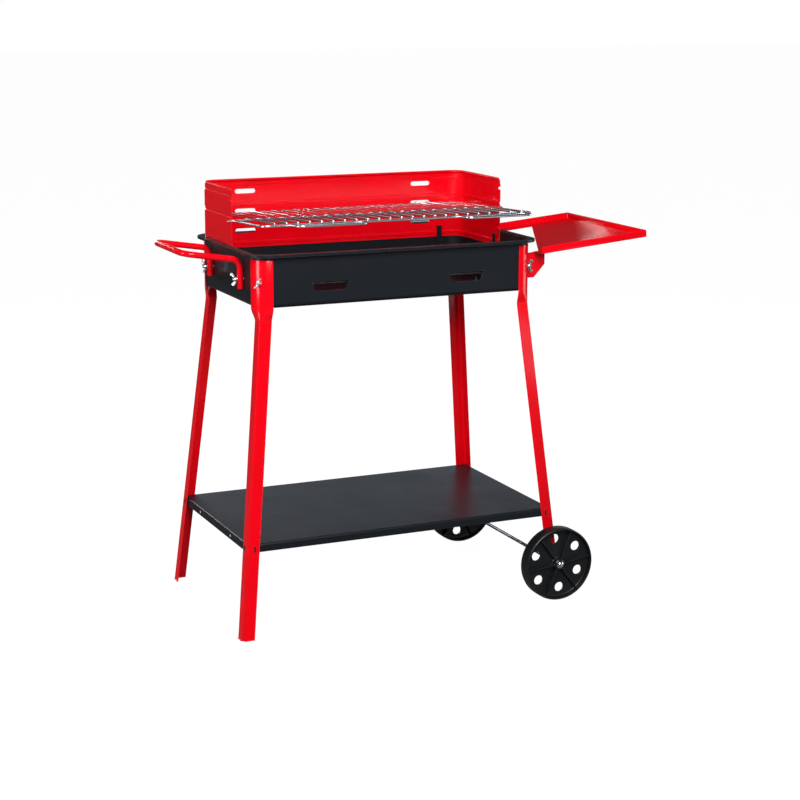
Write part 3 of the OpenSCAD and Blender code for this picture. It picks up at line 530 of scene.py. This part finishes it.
@dataclass
class Workshop:
    """Makes finished pieces: objects at the origin, shaded, dressed and riding on a body."""

    materials: dict[Slot, Material]

    def piece(self, bm: BMesh, name: str, body: Body, slot: Slot,
              replaces: Sequence[str] = (), thickness: float = 0.0,
              rounding: float = 0.0) -> None:
        """Turns a mesh into a finished piece.

        Args:
            bm: the mesh, which is freed.
            name: the piece's name.
            body: the body that it rides on.
            slot: its finish.
            replaces: CAD nodes that it stands for.
            thickness: the sheet's thickness, where the mesh is the sheet's middle surface.
            rounding: how far the sheet's edges are rounded.
        """
        bmesh.ops.recalc_face_normals(bm, faces=bm.faces)
        made = place_object(name, to_mesh(bm, name))
        if thickness:
            wall = made.modifiers.new("wall", "SOLIDIFY")
            wall.thickness, wall.offset, wall.use_even_offset = thickness, 0.0, True
        if rounding:
            edge = made.modifiers.new("edge", "BEVEL")
            edge.width, edge.segments, edge.limit_method = rounding, 2, "ANGLE"
            edge.angle_limit = BEVEL_OVER
        self.settle(made)
        made.data.materials.clear()
        made.data.materials.append(self.materials[slot])
        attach(made, body.value)
        names = list(replaces)
        if names:
            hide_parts(*names)
        LOG.info("made %s: %d faces", name, len(made.data.polygons))

    @staticmethod
    def settle(made: Object) -> None:
        """Applies the object's modifiers and shades it smooth, with sharp creases."""
        if made.modifiers:
            finished = finished_mesh(made)
            made.modifiers.clear()
            made.data = finished
        made.data.shade_smooth()
        made.data.set_sharp_from_angle(angle=SMOOTH_UNDER)

    def dress_frame(self) -> None:
        """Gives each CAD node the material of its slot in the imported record."""
        for row in frame["record"]["subparts"]:
            node = frame["nodes"][row["node"]]
            node.data.materials.clear()
            node.data.materials.append(self.materials[Slot(row["material_slot"])])


# --- shared places


@dataclass(frozen=True)
class Pan:
    """The fire pan's sizes, from which the pieces around it take their places."""

    rim_w: float = 14 * MM
    corner_r: float = 32 * MM
    sheet: float = 1 * MM

    @cached_property
    def middle(self) -> Vector:
        """The pan's middle on the ground."""
        low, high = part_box("firebox_pan")
        return Vector(((low.x + high.x) / 2, (low.y + high.y) / 2, 0.0))

    @cached_property
    def half(self) -> Vector:
        """Half the pan's length and depth over its walls."""
        low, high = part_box("firebox_pan")
        return Vector(((high.x - low.x) / 2 - self.rim_w, (high.y - low.y) / 2 - self.rim_w, 0.0))

    @cached_property
    def arc(self) -> Vector:
        """The centre of the corner's arc, from the pan's middle, in the first quadrant."""
        return self.half - Vector((self.corner_r, self.corner_r, 0.0))

    @cached_property
    def floor_z(self) -> float:
        """The height of the pan's underside."""
        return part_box("firebox_pan")[0].z

    @cached_property
    def rim_z(self) -> float:
        """The height of the rim's top."""
        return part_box("firebox_pan")[1].z


PAN = Pan()
SEAT_GAP = 0.3 * MM
SHEET_GAP = 0.1 * MM
RUN_GAP = 0.05 * MM


# --- legs


@dataclass
class Leg:
    """One sheet leg: its top hugs the pan's corner and folds into a right-angled ridge."""

    node: str
    side_x: int
    side_y: int
    sheet: float = 1.2 * MM
    flange: float = 25 * MM
    splay_x: float = 62 * MM
    splay_y: float = 54.5 * MM
    ridge_inset: float = 6 * MM
    fold_drop: float = 27 * MM
    fold_r: float = 4 * MM
    foot_lip: float = 2.6 * MM
    shelf_z: float = 184 * MM
    tab_drop: float = 9 * MM
    tab_inset: float = 15 * MM
    tab_hole: tuple[float, float] = (5 * MM, 13 * MM)
    edge_round: float = 0.3 * MM
    strips: int = 32
    eased_rows: int = 14
    flat_share: float = 0.25

    @property
    def fold_z(self) -> float:
        """The height at which the fold is complete."""
        return PAN.floor_z - self.fold_drop

    def ridge(self, z: float) -> Vector:
        """Returns the ridge's corner at a height, from the pan's middle, in the first quadrant."""
        share = (self.fold_z - z) / self.fold_z
        inset = Vector((self.ridge_inset, self.ridge_inset, 0.0))
        return PAN.half - inset + Vector((self.splay_x, self.splay_y, 0.0)) * share

    def round_point(self, share: float) -> Vector:
        """Returns a point of the quarter circle round the pan's corner."""
        radius = PAN.corner_r + SHEET_GAP + self.sheet / 2
        angle = share * QUARTER
        return PAN.arc + Vector((math.cos(angle), math.sin(angle), 0.0)) * radius

    def folded_point(self, share: float, z: float) -> Vector:
        """Returns a point of the folded section: a flange, the fold and the other flange."""
        corner = self.ridge(z) - Vector((self.sheet / 2, self.sheet / 2, 0.0))
        radius = self.fold_r - self.sheet / 2
        flat = self.flange - self.fold_r
        if share < self.flat_share:
            return corner - Vector((0.0, radius + flat * (1 - share / self.flat_share), 0.0))
        if share > 1 - self.flat_share:
            past = (share - 1 + self.flat_share) / self.flat_share
            return corner - Vector((radius + flat * past, 0.0, 0.0))
        angle = QUARTER * (share - self.flat_share) / (1 - 2 * self.flat_share)
        return corner + Vector((math.cos(angle) - 1, math.sin(angle) - 1, 0.0)) * radius

    def point(self, share: float, z: float) -> Vector:
        """Returns a point of the sheet's middle surface, from the pan's middle."""
        way = min(1.0, max(0.0, (PAN.floor_z - z) / self.fold_drop))
        eased = way * way * (3 - 2 * way)
        folded = self.folded_point(share, min(z, self.fold_z))
        return Vector((*self.round_point(share).lerp(folded, eased).xy, z))

    def heights(self, top: float, bottom: float) -> list[float]:
        """Returns the heights of the rows of points, from the top down."""
        step = self.fold_drop / self.eased_rows
        return [top, *(PAN.floor_z - step * k for k in range(self.eased_rows + 1)), bottom]

    def build(self, shop: Workshop) -> None:
        """Grows the sheet downwards row by row, cuts the slots and turns out the foot."""
        low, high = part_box(self.node)
        foot = low.z < MM
        bottom = low.z + (self.sheet / 2 if foot else 0.0)
        bm = bmesh.new()
        order = bm.verts.layers.int.new("order")
        first = bm.verts.new(self.round_point(0.0))
        bmesh.ops.spin(bm, geom=[first], cent=PAN.arc, axis=(0, 0, 1), angle=QUARTER,
                       steps=self.strips)
        for rank, vert in enumerate(sorted(bm.verts, key=lambda v: v.co.y)):
            vert[order] = rank
        heights = self.heights(high.z, bottom)
        row, edges = list(bm.verts), list(bm.edges)
        for z in heights:
            if z != heights[0]:
                row = extrude(bm, edges)
                edges = [e for e in bm.edges if e.verts[0] in row and e.verts[1] in row]
            for vert in row:
                vert.co = self.point(vert[order] / self.strips, z)
        if foot:
            self.turn_out_foot(bm, edges, order)
        self.cut_slots(bm)
        flip = Matrix.Diagonal((self.side_x, self.side_y, 1.0, 1.0))
        bmesh.ops.transform(bm, matrix=Matrix.Translation(PAN.middle) @ flip, verts=bm.verts)
        shop.piece(bm, f"{self.node}_sheet", Body.STAND, Slot.RED_ENAMEL, [self.node],
                   thickness=self.sheet, rounding=self.edge_round)

    def turn_out_foot(self, bm: BMesh, edges: list, order: object) -> None:
        """Turns the lower edge of both flanges outwards."""
        last = round(self.strips * self.flat_share)
        for outwards, ranks in ((ALONG_X, range(last + 1)),
                                (ALONG_Y, range(self.strips - last, self.strips + 1))):
            chosen = [e for e in edges if all(v[order] in ranks for v in e.verts)]
            bmesh.ops.translate(bm, verts=extrude(bm, chosen), vec=outwards * self.foot_lip)

    def cut_slots(self, bm: BMesh) -> None:
        """Cuts the shelf's tab slot through each flange."""
        middle_z = self.shelf_z - self.tab_drop
        ridge = Vector((*self.ridge(middle_z).xy, middle_z))
        wide, tall = self.tab_hole

        def on_flange(face: BMFace, across: Vector) -> bool:
            """Tells whether the face lies on the folded flange that across is square to."""
            at = face.calc_center_median()
            return abs((at - ridge).dot(across)) < self.flange / 4 and at.z < self.fold_z

        for along, across in ((ALONG_Y, ALONG_X), (ALONG_X, ALONG_Y)):
            centre = ridge - along * self.tab_inset
            sides = ((along, wide / 2), (-along, wide / 2), (UP, tall / 2), (-UP, tall / 2))
            for way, half in sides:
                faces = [f for f in bm.faces if on_flange(f, across)]
                geom = list({g for f in faces for g in (f, *f.edges, *f.verts)})
                bmesh.ops.bisect_plane(bm, geom=geom, plane_co=centre + way * half, plane_no=way)
            gone = [f for f in bm.faces if on_flange(f, across)
                    and abs((f.calc_center_median() - centre).dot(along)) < wide / 2
                    and abs((f.calc_center_median() - centre).dot(UP)) < tall / 2]
            bmesh.ops.delete(bm, geom=gone, context="FACES")


# --- wheels


@dataclass
class Wheel:
    """A moulded wheel: hub, web with six holes, six tapering ribs and a lipped rim."""

    node: str
    body: Body
    outwards: int
    hub_r: float = 10.5 * MM
    bore_r: float = 3.55 * MM
    rim_lip: float = 4 * MM
    web: float = 5 * MM
    hole_r: float = 10 * MM
    hole_ring: float = 52 * MM
    rib: float = 3 * MM
    rib_height: float = 9 * MM
    rib_round: float = 0.7 * MM
    rib_thinning: Range = (1.05, 0.35)
    rib_lowering: Range = (1.1, 0.28)
    tread: float = 1.6 * MM
    fillet: float = 2 * MM
    ease: float = 0.5 * MM
    flare: float = 0.6 * MM
    turn: float = math.radians(97)
    holes: int = 6
    steps: int = 96

    def outline(self, radius: float, half: float) -> list[tuple[float, float]]:
        """Returns half a section through the wheel, its axis along Z, as a closed loop."""
        web, lip, hub = self.web / 2, radius - self.rim_lip, self.hub_r
        tread, fillet, ease = self.tread, self.fillet, self.ease
        hub_half = half - 0.8 * MM
        upper = [
            (self.bore_r, half - ease), (hub - 1.2 * MM, half), (hub, hub_half),
            (hub + ease, web + fillet), (hub + fillet, web + ease), (hub + 2 * fillet, web),
            (lip - 2 * fillet, web), (lip - fillet, web + ease), (lip - 0.7 * MM, web + fillet),
            (lip, hub_half - 2 * MM), (lip + 0.4 * MM, hub_half), (lip + 1.2 * MM, half - ease),
            (lip + 2.2 * MM, half - ease), (radius - tread * 0.45, half - tread * 0.8),
            (radius - 0.15 * MM, half - tread * 1.9), (radius, half * 0.45),
        ]
        lower = [(r, -h) for r, h in reversed(upper)]
        return upper + lower

    def cut_holes(self, bm: BMesh, depth: float) -> BMesh:
        """Cuts the web's holes, with a small flare at both faces.

        Args:
            bm: the wheel's body, its axis along Z. It is freed.
            depth: how far the cutters reach to each side.

        Returns:
            The cut mesh.
        """
        cutter = bmesh.new()
        web, wide = self.web / 2, self.hole_r + self.flare
        upper = [(0.0, depth), (wide, depth), (wide, web + self.flare * 0.3),
                 (self.hole_r, web - self.flare)]
        lower = [(r, -h) for r, h in reversed(upper)]
        for k in range(self.holes):
            made = lathe(cutter, upper + lower, 32)
            bmesh.ops.translate(cutter, verts=made, vec=(self.hole_ring, 0, 0))
            spin(cutter, made, math.tau * k / self.holes)
        for mesh in (bm, cutter):
            bmesh.ops.recalc_face_normals(mesh, faces=mesh.faces)
        solid, tool = (place_object("work", to_mesh(mesh, "work")) for mesh in (bm, cutter))
        cut = solid.modifiers.new("holes", "BOOLEAN")
        cut.object, cut.operation, cut.solver = tool, "DIFFERENCE", "EXACT"
        result = bmesh.new()
        result.from_mesh(finished_mesh(solid))
        for spare in (solid, tool):
            bpy.data.objects.remove(spare)
        return result

    def build(self, shop: Workshop) -> None:
        """Makes the wheel in the place of its CAD node."""
        low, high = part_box(self.node)
        centre = (low + high) / 2
        radius, half = (high.z - low.z) / 2, (high.y - low.y) / 2
        bm = bmesh.new()
        lathe(bm, self.outline(radius, half), self.steps, True)
        bm = self.cut_holes(bm, half)
        for k in range(self.holes):
            self.add_rib(bm, math.tau * (k + 0.5) / self.holes, radius)
        turn = turned(-self.outwards * QUARTER, "X") @ turned(self.turn)
        place = Matrix.Translation(centre) @ turn
        bmesh.ops.transform(bm, matrix=place, verts=bm.verts)
        shop.piece(bm, f"{self.node}_moulding", self.body, Slot.WHEEL_PLASTIC, [self.node])

    def add_rib(self, bm: BMesh, angle: float, radius: float) -> None:
        """Adds one rib, which is tallest and thickest at the hub."""
        inner, outer = self.hub_r - 2 * self.ease, radius - self.rim_lip + self.ease
        size = Vector((outer - inner, self.rib, self.web + 2 * self.rib_height))
        place = Matrix.Translation(((inner + outer) / 2, 0, 0))
        made = bevelled_box(bm, size, place, self.rib_round)
        for vert in made:
            out = (vert.co.x - inner) / (outer - inner)
            vert.co.y *= self.rib_thinning[0] - self.rib_thinning[1] * out
            vert.co.z *= self.rib_lowering[0] - self.rib_lowering[1] * out
        spin(bm, made, angle)


# --- bolts and wing nuts


Seat = tuple[Matrix, float, float]


@dataclass
class Fastener:
    """A domed bolt and its wing nut, drawn along +Z from the face that the nut clamps."""

    bolt_r: float = 3 * MM
    head_h: float = 3.3 * MM
    head_r: float = 6 * MM
    nut_h: float = 7 * MM
    nut_wall: float = 2.4 * MM
    span: float = 26 * MM
    wing: float = 2 * MM
    wing_rise: float = 5 * MM
    tip_r: float = 3.2 * MM
    cast_grain: float = 0.42 * MM
    past: float = 2 * MM
    pitch: float = 1 * MM
    thread: float = 0.45 * MM

    def nut_mesh(self) -> Mesh:
        """Returns the nut as one cast, rounded shape."""
        bm = bmesh.new()
        root_r, top = self.bolt_r + self.nut_wall, self.nut_h + self.wing_rise
        lathe(bm, [(0.0, 0.0), (root_r, 0.0), (root_r - 0.2 * MM, self.nut_h * 0.6),
                   (root_r - 0.9 * MM, self.nut_h), (0.0, self.nut_h)], 32)
        arm_x = (root_r - 1.6 * MM, self.span / 2 - 3.4 * MM)
        arm_z = ((0.4 * MM, self.nut_h - 0.3 * MM), (self.nut_h - 1.4 * MM, top - 0.6 * MM))
        for side in (0, 1):
            before = set(bm.verts)
            bmesh.ops.create_cone(bm, cap_ends=True, segments=20, radius1=self.tip_r,
                                  radius2=self.tip_r, depth=self.wing, matrix=turned(QUARTER, "X"))
            bmesh.ops.translate(bm, verts=verts_since(bm, before),
                                vec=(self.span / 2 - self.tip_r, 0, top - self.tip_r))
            for vert in bmesh.ops.create_cube(bm, size=1.0)["verts"]:
                outer, upper = vert.co.x > 0, vert.co.z > 0
                vert.co = (arm_x[outer], vert.co.y * self.wing, arm_z[outer][upper])
            if side:
                spin(bm, verts_since(bm, before), math.pi)
        bmesh.ops.recalc_face_normals(bm, faces=bm.faces)
        made = place_object("nut", to_mesh(bm, "nut"))
        cast = made.modifiers.new("cast", "REMESH")
        cast.mode, cast.voxel_size = "VOXEL", self.cast_grain
        soft = made.modifiers.new("soft", "SMOOTH")
        soft.factor, soft.iterations = 0.5, 3
        finished = finished_mesh(made)
        bpy.data.objects.remove(made)
        return finished

    def add_bolt(self, bm: BMesh, grip: float, place: Matrix) -> None:
        """Adds a bolt whose head's underside lies at place, with a thread at its far end."""
        end = grip + self.nut_h + self.past
        start = grip + self.nut_h - 2 * self.pitch
        dome = [(self.head_r * r, -self.head_h * h)
                for r, h in ((0.0, 1.0), (0.45, 0.93), (0.8, 0.62), (1.0, 0.15), (1.0, 0.0))]
        ridges = [(self.bolt_r - self.thread * (k % 2), start + k * self.pitch / 2)
                  for k in range(int((end - start) / self.pitch * 2))]
        tip = [(self.bolt_r - 2 * self.thread, end), (0.0, end)]
        made = lathe(bm, [*dome, (self.bolt_r, 0.0), *ridges, *tip], 24)
        bmesh.ops.transform(bm, matrix=place, verts=made)


@dataclass
class Fasteners:
    """All bolts and wing nuts, in the places of their CAD nodes.

    A seat is a bolt's axis with the distances of its head and of the clamped face along it.
    """

    kind: Fastener
    leg_drop: float = 53 * MM
    leg_sheet: float = 1.2 * MM
    handle_y: float = 88 * MM
    handle_d: float = 12 * MM
    handle_rise: float = 48 * MM
    bracket: float = 1.2 * MM
    bracket_in: float = 18.2 * MM
    left_turn: float = math.radians(-35)
    handle_turn: float = math.radians(25)

    def leg_seats(self) -> list[Seat]:
        """Returns the seats in the pan's corners."""
        seats = []
        clear = math.sqrt((PAN.corner_r - PAN.sheet) ** 2 - self.kind.head_r ** 2) - RUN_GAP
        outer = PAN.corner_r + SHEET_GAP + self.leg_sheet
        z = PAN.rim_z - self.leg_drop
        for side_x in (-1, 1):
            for side_y in (-1, 1):
                at = PAN.middle + Vector((side_x * PAN.arc.x, side_y * PAN.arc.y, z))
                turn = turned(math.atan2(side_y, side_x)) @ turned(QUARTER, "Y")
                twist = turned(0.0 if side_x > 0 else self.left_turn)
                seats.append((Matrix.Translation(at) @ turn @ twist, clear, outer))
        return seats

    def wall_seats(self, end: int, y: float, z: float, twist: float, clamped: float) -> list[Seat]:
        """Returns the two seats in the pan's left (-1) or right (1) wall."""
        turn = turned(end * QUARTER, "Y") @ turned(twist)
        x = end * (PAN.half.x - PAN.sheet)
        return [(Matrix.Translation(PAN.middle + Vector((x, side * y, z))) @ turn, 0.0,
                 PAN.sheet + clamped) for side in (-1, 1)]

    def build(self, shop: Workshop) -> None:
        """Makes the bolts and the wing nuts of the legs, the handle and the tray."""
        handle_z, tray_z = PAN.floor_z + self.handle_rise, PAN.rim_z - self.leg_drop
        tray_y = PAN.arc.y - self.bracket_in + self.bracket - 2 * SHEET_GAP
        self.make(shop, "leg", self.leg_seats())
        self.make(shop, "handle", self.wall_seats(-1, self.handle_y, handle_z, self.handle_turn,
                                                  SEAT_GAP + self.handle_d))
        self.make(shop, "tray", self.wall_seats(1, tray_y, tray_z, QUARTER, self.bracket))

    def make(self, shop: Workshop, prefix: str, seats: list[Seat]) -> None:
        """Makes the bolts and nuts of the CAD nodes whose names begin with prefix."""
        nut = self.kind.nut_mesh()
        bolts, nuts = bmesh.new(), bmesh.new()
        for place, head, face in seats:
            self.kind.add_bolt(bolts, face - head, place @ Matrix.Translation(UP * head))
            before = set(nuts.verts)
            nuts.from_mesh(nut)
            bmesh.ops.transform(nuts, matrix=place @ Matrix.Translation(UP * (face + SHEET_GAP)),
                                verts=verts_since(nuts, before))
        shop.piece(bolts, f"{prefix}_bolts_threaded", Body.STAND, Slot.ZINC, [f"{prefix}_bolts"])
        shop.piece(nuts, f"{prefix}_wing_nuts_cast", Body.STAND, Slot.ZINC,
                   [f"{prefix}_wing_nuts"])


# --- cooking grill


@dataclass
class CookingGrill:
    """The chrome grill's cross wires, with domed ends and welds on the wires below."""

    wires: int = 23
    length: float = 563 * MM
    front: float = 156 * MM
    frame_r: float = 2.5 * MM
    wire_r: float = 1.8 * MM
    tilt: float = math.radians(2.6)
    slot_steps: float = 3.69
    slot_length: float = 43 * MM
    slot_play: float = 2 * MM
    prong_past: float = 16 * MM
    wire_dome: float = 0.9 * MM
    weld_sink: float = 0.05 * MM
    weld_shape: Triple = (2.25 * MM, 2.125 * MM, 1.1 * MM)

    def build(self, shop: Workshop) -> None:
        """Makes the cross wires and the welds."""
        low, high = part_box("grill_middle_wire")
        origin = (low + high) / 2
        back_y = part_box("grill_frame_wire")[1].y - self.frame_r
        back = (back_y - origin.y) / math.cos(self.tilt)
        place = Matrix.Translation(origin) @ turned(-self.tilt, "X")
        pitch = self.length / (self.wires + 1)
        slot_x = self.length / 2 - self.slot_steps * pitch
        lift = self.frame_r + self.wire_r + self.weld_sink
        wires, welds = bmesh.new(), bmesh.new()
        room = self.slot_length / 2 - self.wire_r - self.slot_play
        for k in range(1, self.wires + 1):
            x = -self.length / 2 + k * pitch
            end = back + (self.prong_past if abs(abs(x) - slot_x) < room else self.frame_r)
            domed_rod(wires, Vector((x, -self.front - self.frame_r, lift)),
                      Vector((x, end, lift)), self.wire_r, 12, self.wire_dome)
            for y in (-self.front, 0.0, back):
                weld = (Matrix.Translation((x, y, self.frame_r))
                        @ Matrix.Diagonal((*self.weld_shape, 1.0)))
                bmesh.ops.create_icosphere(welds, subdivisions=2, radius=1.0, matrix=weld)
        for mesh in (wires, welds):
            bmesh.ops.transform(mesh, matrix=place, verts=mesh.verts)
        shop.piece(wires, "grill_cross_wires_domed", Body.COOKING_GRILL, Slot.CHROME_WIRE,
                   ["grill_cross_wires"])
        shop.piece(welds, "grill_welds", Body.COOKING_GRILL, Slot.CHROME_WIRE)


# --- side handle


@dataclass
class SideHandle:
    """The bent red rod on the left end, with rounded rod ends."""

    radius: float = 6 * MM
    half_width: float = 88 * MM
    foot: float = 28 * MM
    upright: float = 41 * MM
    bend_r: float = 18 * MM
    tilt: float = math.radians(9)
    run: float = 98 * MM
    grip_bend_r: float = 22 * MM
    dome: float = 2.5 * MM
    sides: int = 28

    def build(self, shop: Workshop) -> None:
        """Bends the rod from the front arm's foot, round the grip, to the back arm's foot."""
        x = PAN.middle.x - PAN.half.x - SEAT_GAP - self.radius
        z = PAN.floor_z + self.foot + self.upright
        start = Vector((x, PAN.middle.y - self.half_width, z))
        turn, arm_run = QUARTER - self.tilt, self.run - self.grip_bend_r
        bm = bmesh.new()
        foot = Rod(bm, start, -UP, self.radius, self.sides)
        foot.run(self.upright - self.dome).dome(self.dome, 4)
        arm = Rod(bm, start, UP, self.radius, self.sides)
        arm.bend(-ALONG_X, turn, self.bend_r).run(arm_run)
        outwards = arm.heading.copy()
        arm.bend(ALONG_Y, QUARTER, self.grip_bend_r).run(2 * (self.half_width - self.grip_bend_r))
        arm.bend(-outwards, QUARTER, self.grip_bend_r).run(arm_run)
        down = arm.heading.cross(ALONG_Y).normalized()
        arm.bend(-down if down.z > 0 else down, turn, self.bend_r)
        arm.run(self.upright - self.dome).dome(self.dome, 4)
        bmesh.ops.remove_doubles(bm, verts=bm.verts, dist=DOUBLE)
        shop.piece(bm, "side_handle_rod", Body.STAND, Slot.RED_ENAMEL, ["side_handle"])


# --- side tray


@dataclass
class SideTray:
    """The folded tray: a floor with a slanted cut-away and three upturned edges."""

    gap: float = 4 * MM
    drop: float = 30 * MM
    tilt: float = math.radians(5.3)
    length: float = 242 * MM
    width: float = 324 * MM
    forward: float = 6 * MM
    lip: float = 14 * MM
    sheet: float = 1 * MM
    arm_w: float = 28 * MM
    tab_w: float = 26 * MM
    cut_length: float = 138 * MM
    slant_in: float = 6 * MM
    relief: float = 0.6 * MM
    fold_r: float = 2 * MM
    edge_round: float = 0.25 * MM

    def build(self, shop: Workshop) -> None:
        """Draws the floor, folds up the three edges and rounds the folds."""
        half_t = self.sheet / 2
        front = -(self.width / 2 + self.forward) - half_t
        back = front + self.width + self.sheet
        end, notch, inner = self.length, self.relief, back - self.arm_w
        bm = bmesh.new()
        outline = [(0, front), (end - notch, front), (end, front + notch), (end, back - notch),
                   (end - notch, back), (0, back), (0, inner), (self.cut_length, inner),
                   (self.slant_in, front + self.tab_w), (0, front + self.tab_w)]
        verts = [bm.verts.new((x, y, half_t)) for x, y in outline]
        edges = [bm.edges.new(pair) for pair in zip(verts, verts[1:] + verts[:1])]
        bmesh.ops.contextual_create(bm, geom=edges)
        folds = []
        for a, b in ((0, 1), (2, 3), (4, 5)):
            edge = bm.edges.get((verts[a], verts[b]))
            bmesh.ops.translate(bm, verts=extrude(bm, [edge]), vec=UP * (self.lip - half_t))
            folds.append(edge)
        bevel(bm, folds, self.fold_r, 5)
        edge_x = PAN.half.x + PAN.rim_w + self.gap
        origin = PAN.middle + Vector((edge_x, 0.0, PAN.rim_z - self.drop))
        place = Matrix.Translation(origin) @ turned(-self.tilt, "Y")
        bmesh.ops.transform(bm, matrix=place, verts=bm.verts)
        shop.piece(bm, "side_tray_sheet", Body.STAND, Slot.RED_ENAMEL, ["side_tray"],
                   thickness=self.sheet, rounding=self.edge_round)


# --- stage


@dataclass(frozen=True)
class Lamp:
    """One soft rectangular light."""

    name: str
    place: Triple
    size: tuple[float, float]
    power: float
    tint: Colour = WHITE


COOL: Colour = (0.78, 0.88, 1.0)
LAMPS = (
    Lamp("front_light", (-0.5, -2.1, 1.9), (1.4, 1.4), 82.0),
    Lamp("left_light", (-3.2, -0.5, 1.3), (0.9, 1.7), 60.0),
    Lamp("right_light", (2.2, -0.5, 0.6), (0.9, 1.1), 11.0),
    Lamp("back_light", (0.8, 2.6, 3.4), (1.6, 1.6), 8.0),
    Lamp("rear_light", (-0.45, 2.6, 1.05), (0.9, 0.7), 20.0),
    Lamp("low_light", (0.95, -1.6, 0.2), (0.5, 0.25), 0.9, COOL),
    Lamp("shelf_light", (1.2, 2.6, 0.6), (2.2, 0.6), 4.0, COOL),
)


@dataclass
class Studio:
    """The pale floor, the soft lights and the camera."""

    camera_from_pan: Triple = (-1.4705, -3.3879, 1.2228)
    azimuth: float = math.radians(24.55)
    elevation: float = math.radians(12.594)
    roll: float = math.radians(0.24)
    lens: float = 83.75
    sensor: float = 36.0
    far: float = 100.0
    floor_size: float = 60.0
    floor_grey: float = 0.10
    floor_roughness: float = 0.9
    floor_glow: Range = (0.05, 0.98)
    sky_glow: Range = (0.035, 1.0)
    light_target: Triple = (0.0, 0.0, 0.6)

    def build(self) -> None:
        """Sets the stage."""
        self.add_floor()
        self.add_world()
        self.add_lights()
        self.add_camera()
        view = bpy.context.scene.view_settings
        view.view_transform, view.look = "Standard", "None"

    @staticmethod
    def seen_glow(sketch: Sketch, glow: Range) -> NodeSocket:
        """Returns a strength with one value for light that bounces and one for the eye."""
        seen = sketch.add("ShaderNodeLightPath").outputs["Is Camera Ray"]
        return sketch.spread(seen, WHOLE, glow)

    def add_floor(self) -> None:
        """Lays a large white floor that glows to the eye, so that it stays pale to the horizon."""
        bm = bmesh.new()
        bmesh.ops.create_grid(bm, x_segments=1, y_segments=1, size=self.floor_size / 2)
        floor = place_object("studio_floor", to_mesh(bm, "studio_floor"))
        material = bpy.data.materials.new("studio_floor")
        material.use_nodes = True
        sketch = Sketch(material.node_tree)
        shader = sketch.add("ShaderNodeBsdfPrincipled", {
            "Base Color": opaque((self.floor_grey,) * 3), "Roughness": self.floor_roughness,
            "Emission Color": opaque(WHITE), "Specular IOR Level": 0.0,
            "Emission Strength": self.seen_glow(sketch, self.floor_glow)})
        sketch.add("ShaderNodeOutputMaterial", {"Surface": shader.outputs[0]})
        floor.data.materials.append(material)

    def add_world(self) -> None:
        """Makes the surroundings white to the eye and dim for reflections."""
        world = bpy.data.worlds.new("studio")
        bpy.context.scene.world = world
        world.use_nodes = True
        sketch = Sketch(world.node_tree)
        light = sketch.add("ShaderNodeBackground", {
            "Color": opaque(WHITE), "Strength": self.seen_glow(sketch, self.sky_glow)})
        sketch.add("ShaderNodeOutputWorld", {"Surface": light.outputs[0]})

    def add_lights(self) -> None:
        """Hangs the soft lights: front, left, right, two behind and two weak ones."""
        for lamp in LAMPS:
            data = bpy.data.lights.new(lamp.name, "AREA")
            data.shape, data.size, data.size_y = "RECTANGLE", *lamp.size
            data.energy, data.color = lamp.power, lamp.tint
            made = place_object(lamp.name, data)
            made.location = lamp.place
            made.visible_camera = False
            made.rotation_mode = "QUATERNION"
            way = Vector(self.light_target) - Vector(lamp.place)
            made.rotation_quaternion = way.to_track_quat("-Z", "Y")

    def add_camera(self) -> None:
        """Places the camera at the cook's left."""
        data = bpy.data.cameras.new("camera")
        data.lens, data.sensor_width, data.clip_end = self.lens, self.sensor, self.far
        camera = place_object("camera", data)
        x, y, z = self.camera_from_pan
        camera.location = (PAN.middle.x + x, y, z)
        turn = (turned(-self.azimuth, size=3) @ turned(QUARTER - self.elevation, "X", 3)
                @ turned(self.roll, size=3))
        camera.rotation_mode = "QUATERNION"
        camera.rotation_quaternion = turn.to_quaternion()
        bpy.context.scene.camera = camera


def main() -> None:
    """Builds the finishes, the pieces and the stage in order."""
    logging.basicConfig(level=logging.INFO, format="%(relativeCreated)d ms %(message)s")
    groups = SharedGroups()
    shop = Workshop({finish.slot: finish.build(groups) for finish in FINISHES})
    shop.dress_frame()
    for x_name, side_x in (("left", -1), ("right", 1)):
        for y_name, side_y in (("front", -1), ("back", 1)):
            Leg(f"leg_{y_name}_{x_name}", side_x, side_y).build(shop)
    Wheel("wheel_front", Body.FRONT_WHEEL, -1).build(shop)
    Wheel("wheel_back", Body.BACK_WHEEL, 1).build(shop)
    Fasteners(Fastener()).build(shop)
    CookingGrill().build(shop)
    SideHandle().build(shop)
    SideTray().build(shop)
    Studio().build()


if __name__ == "__main__":
    main()
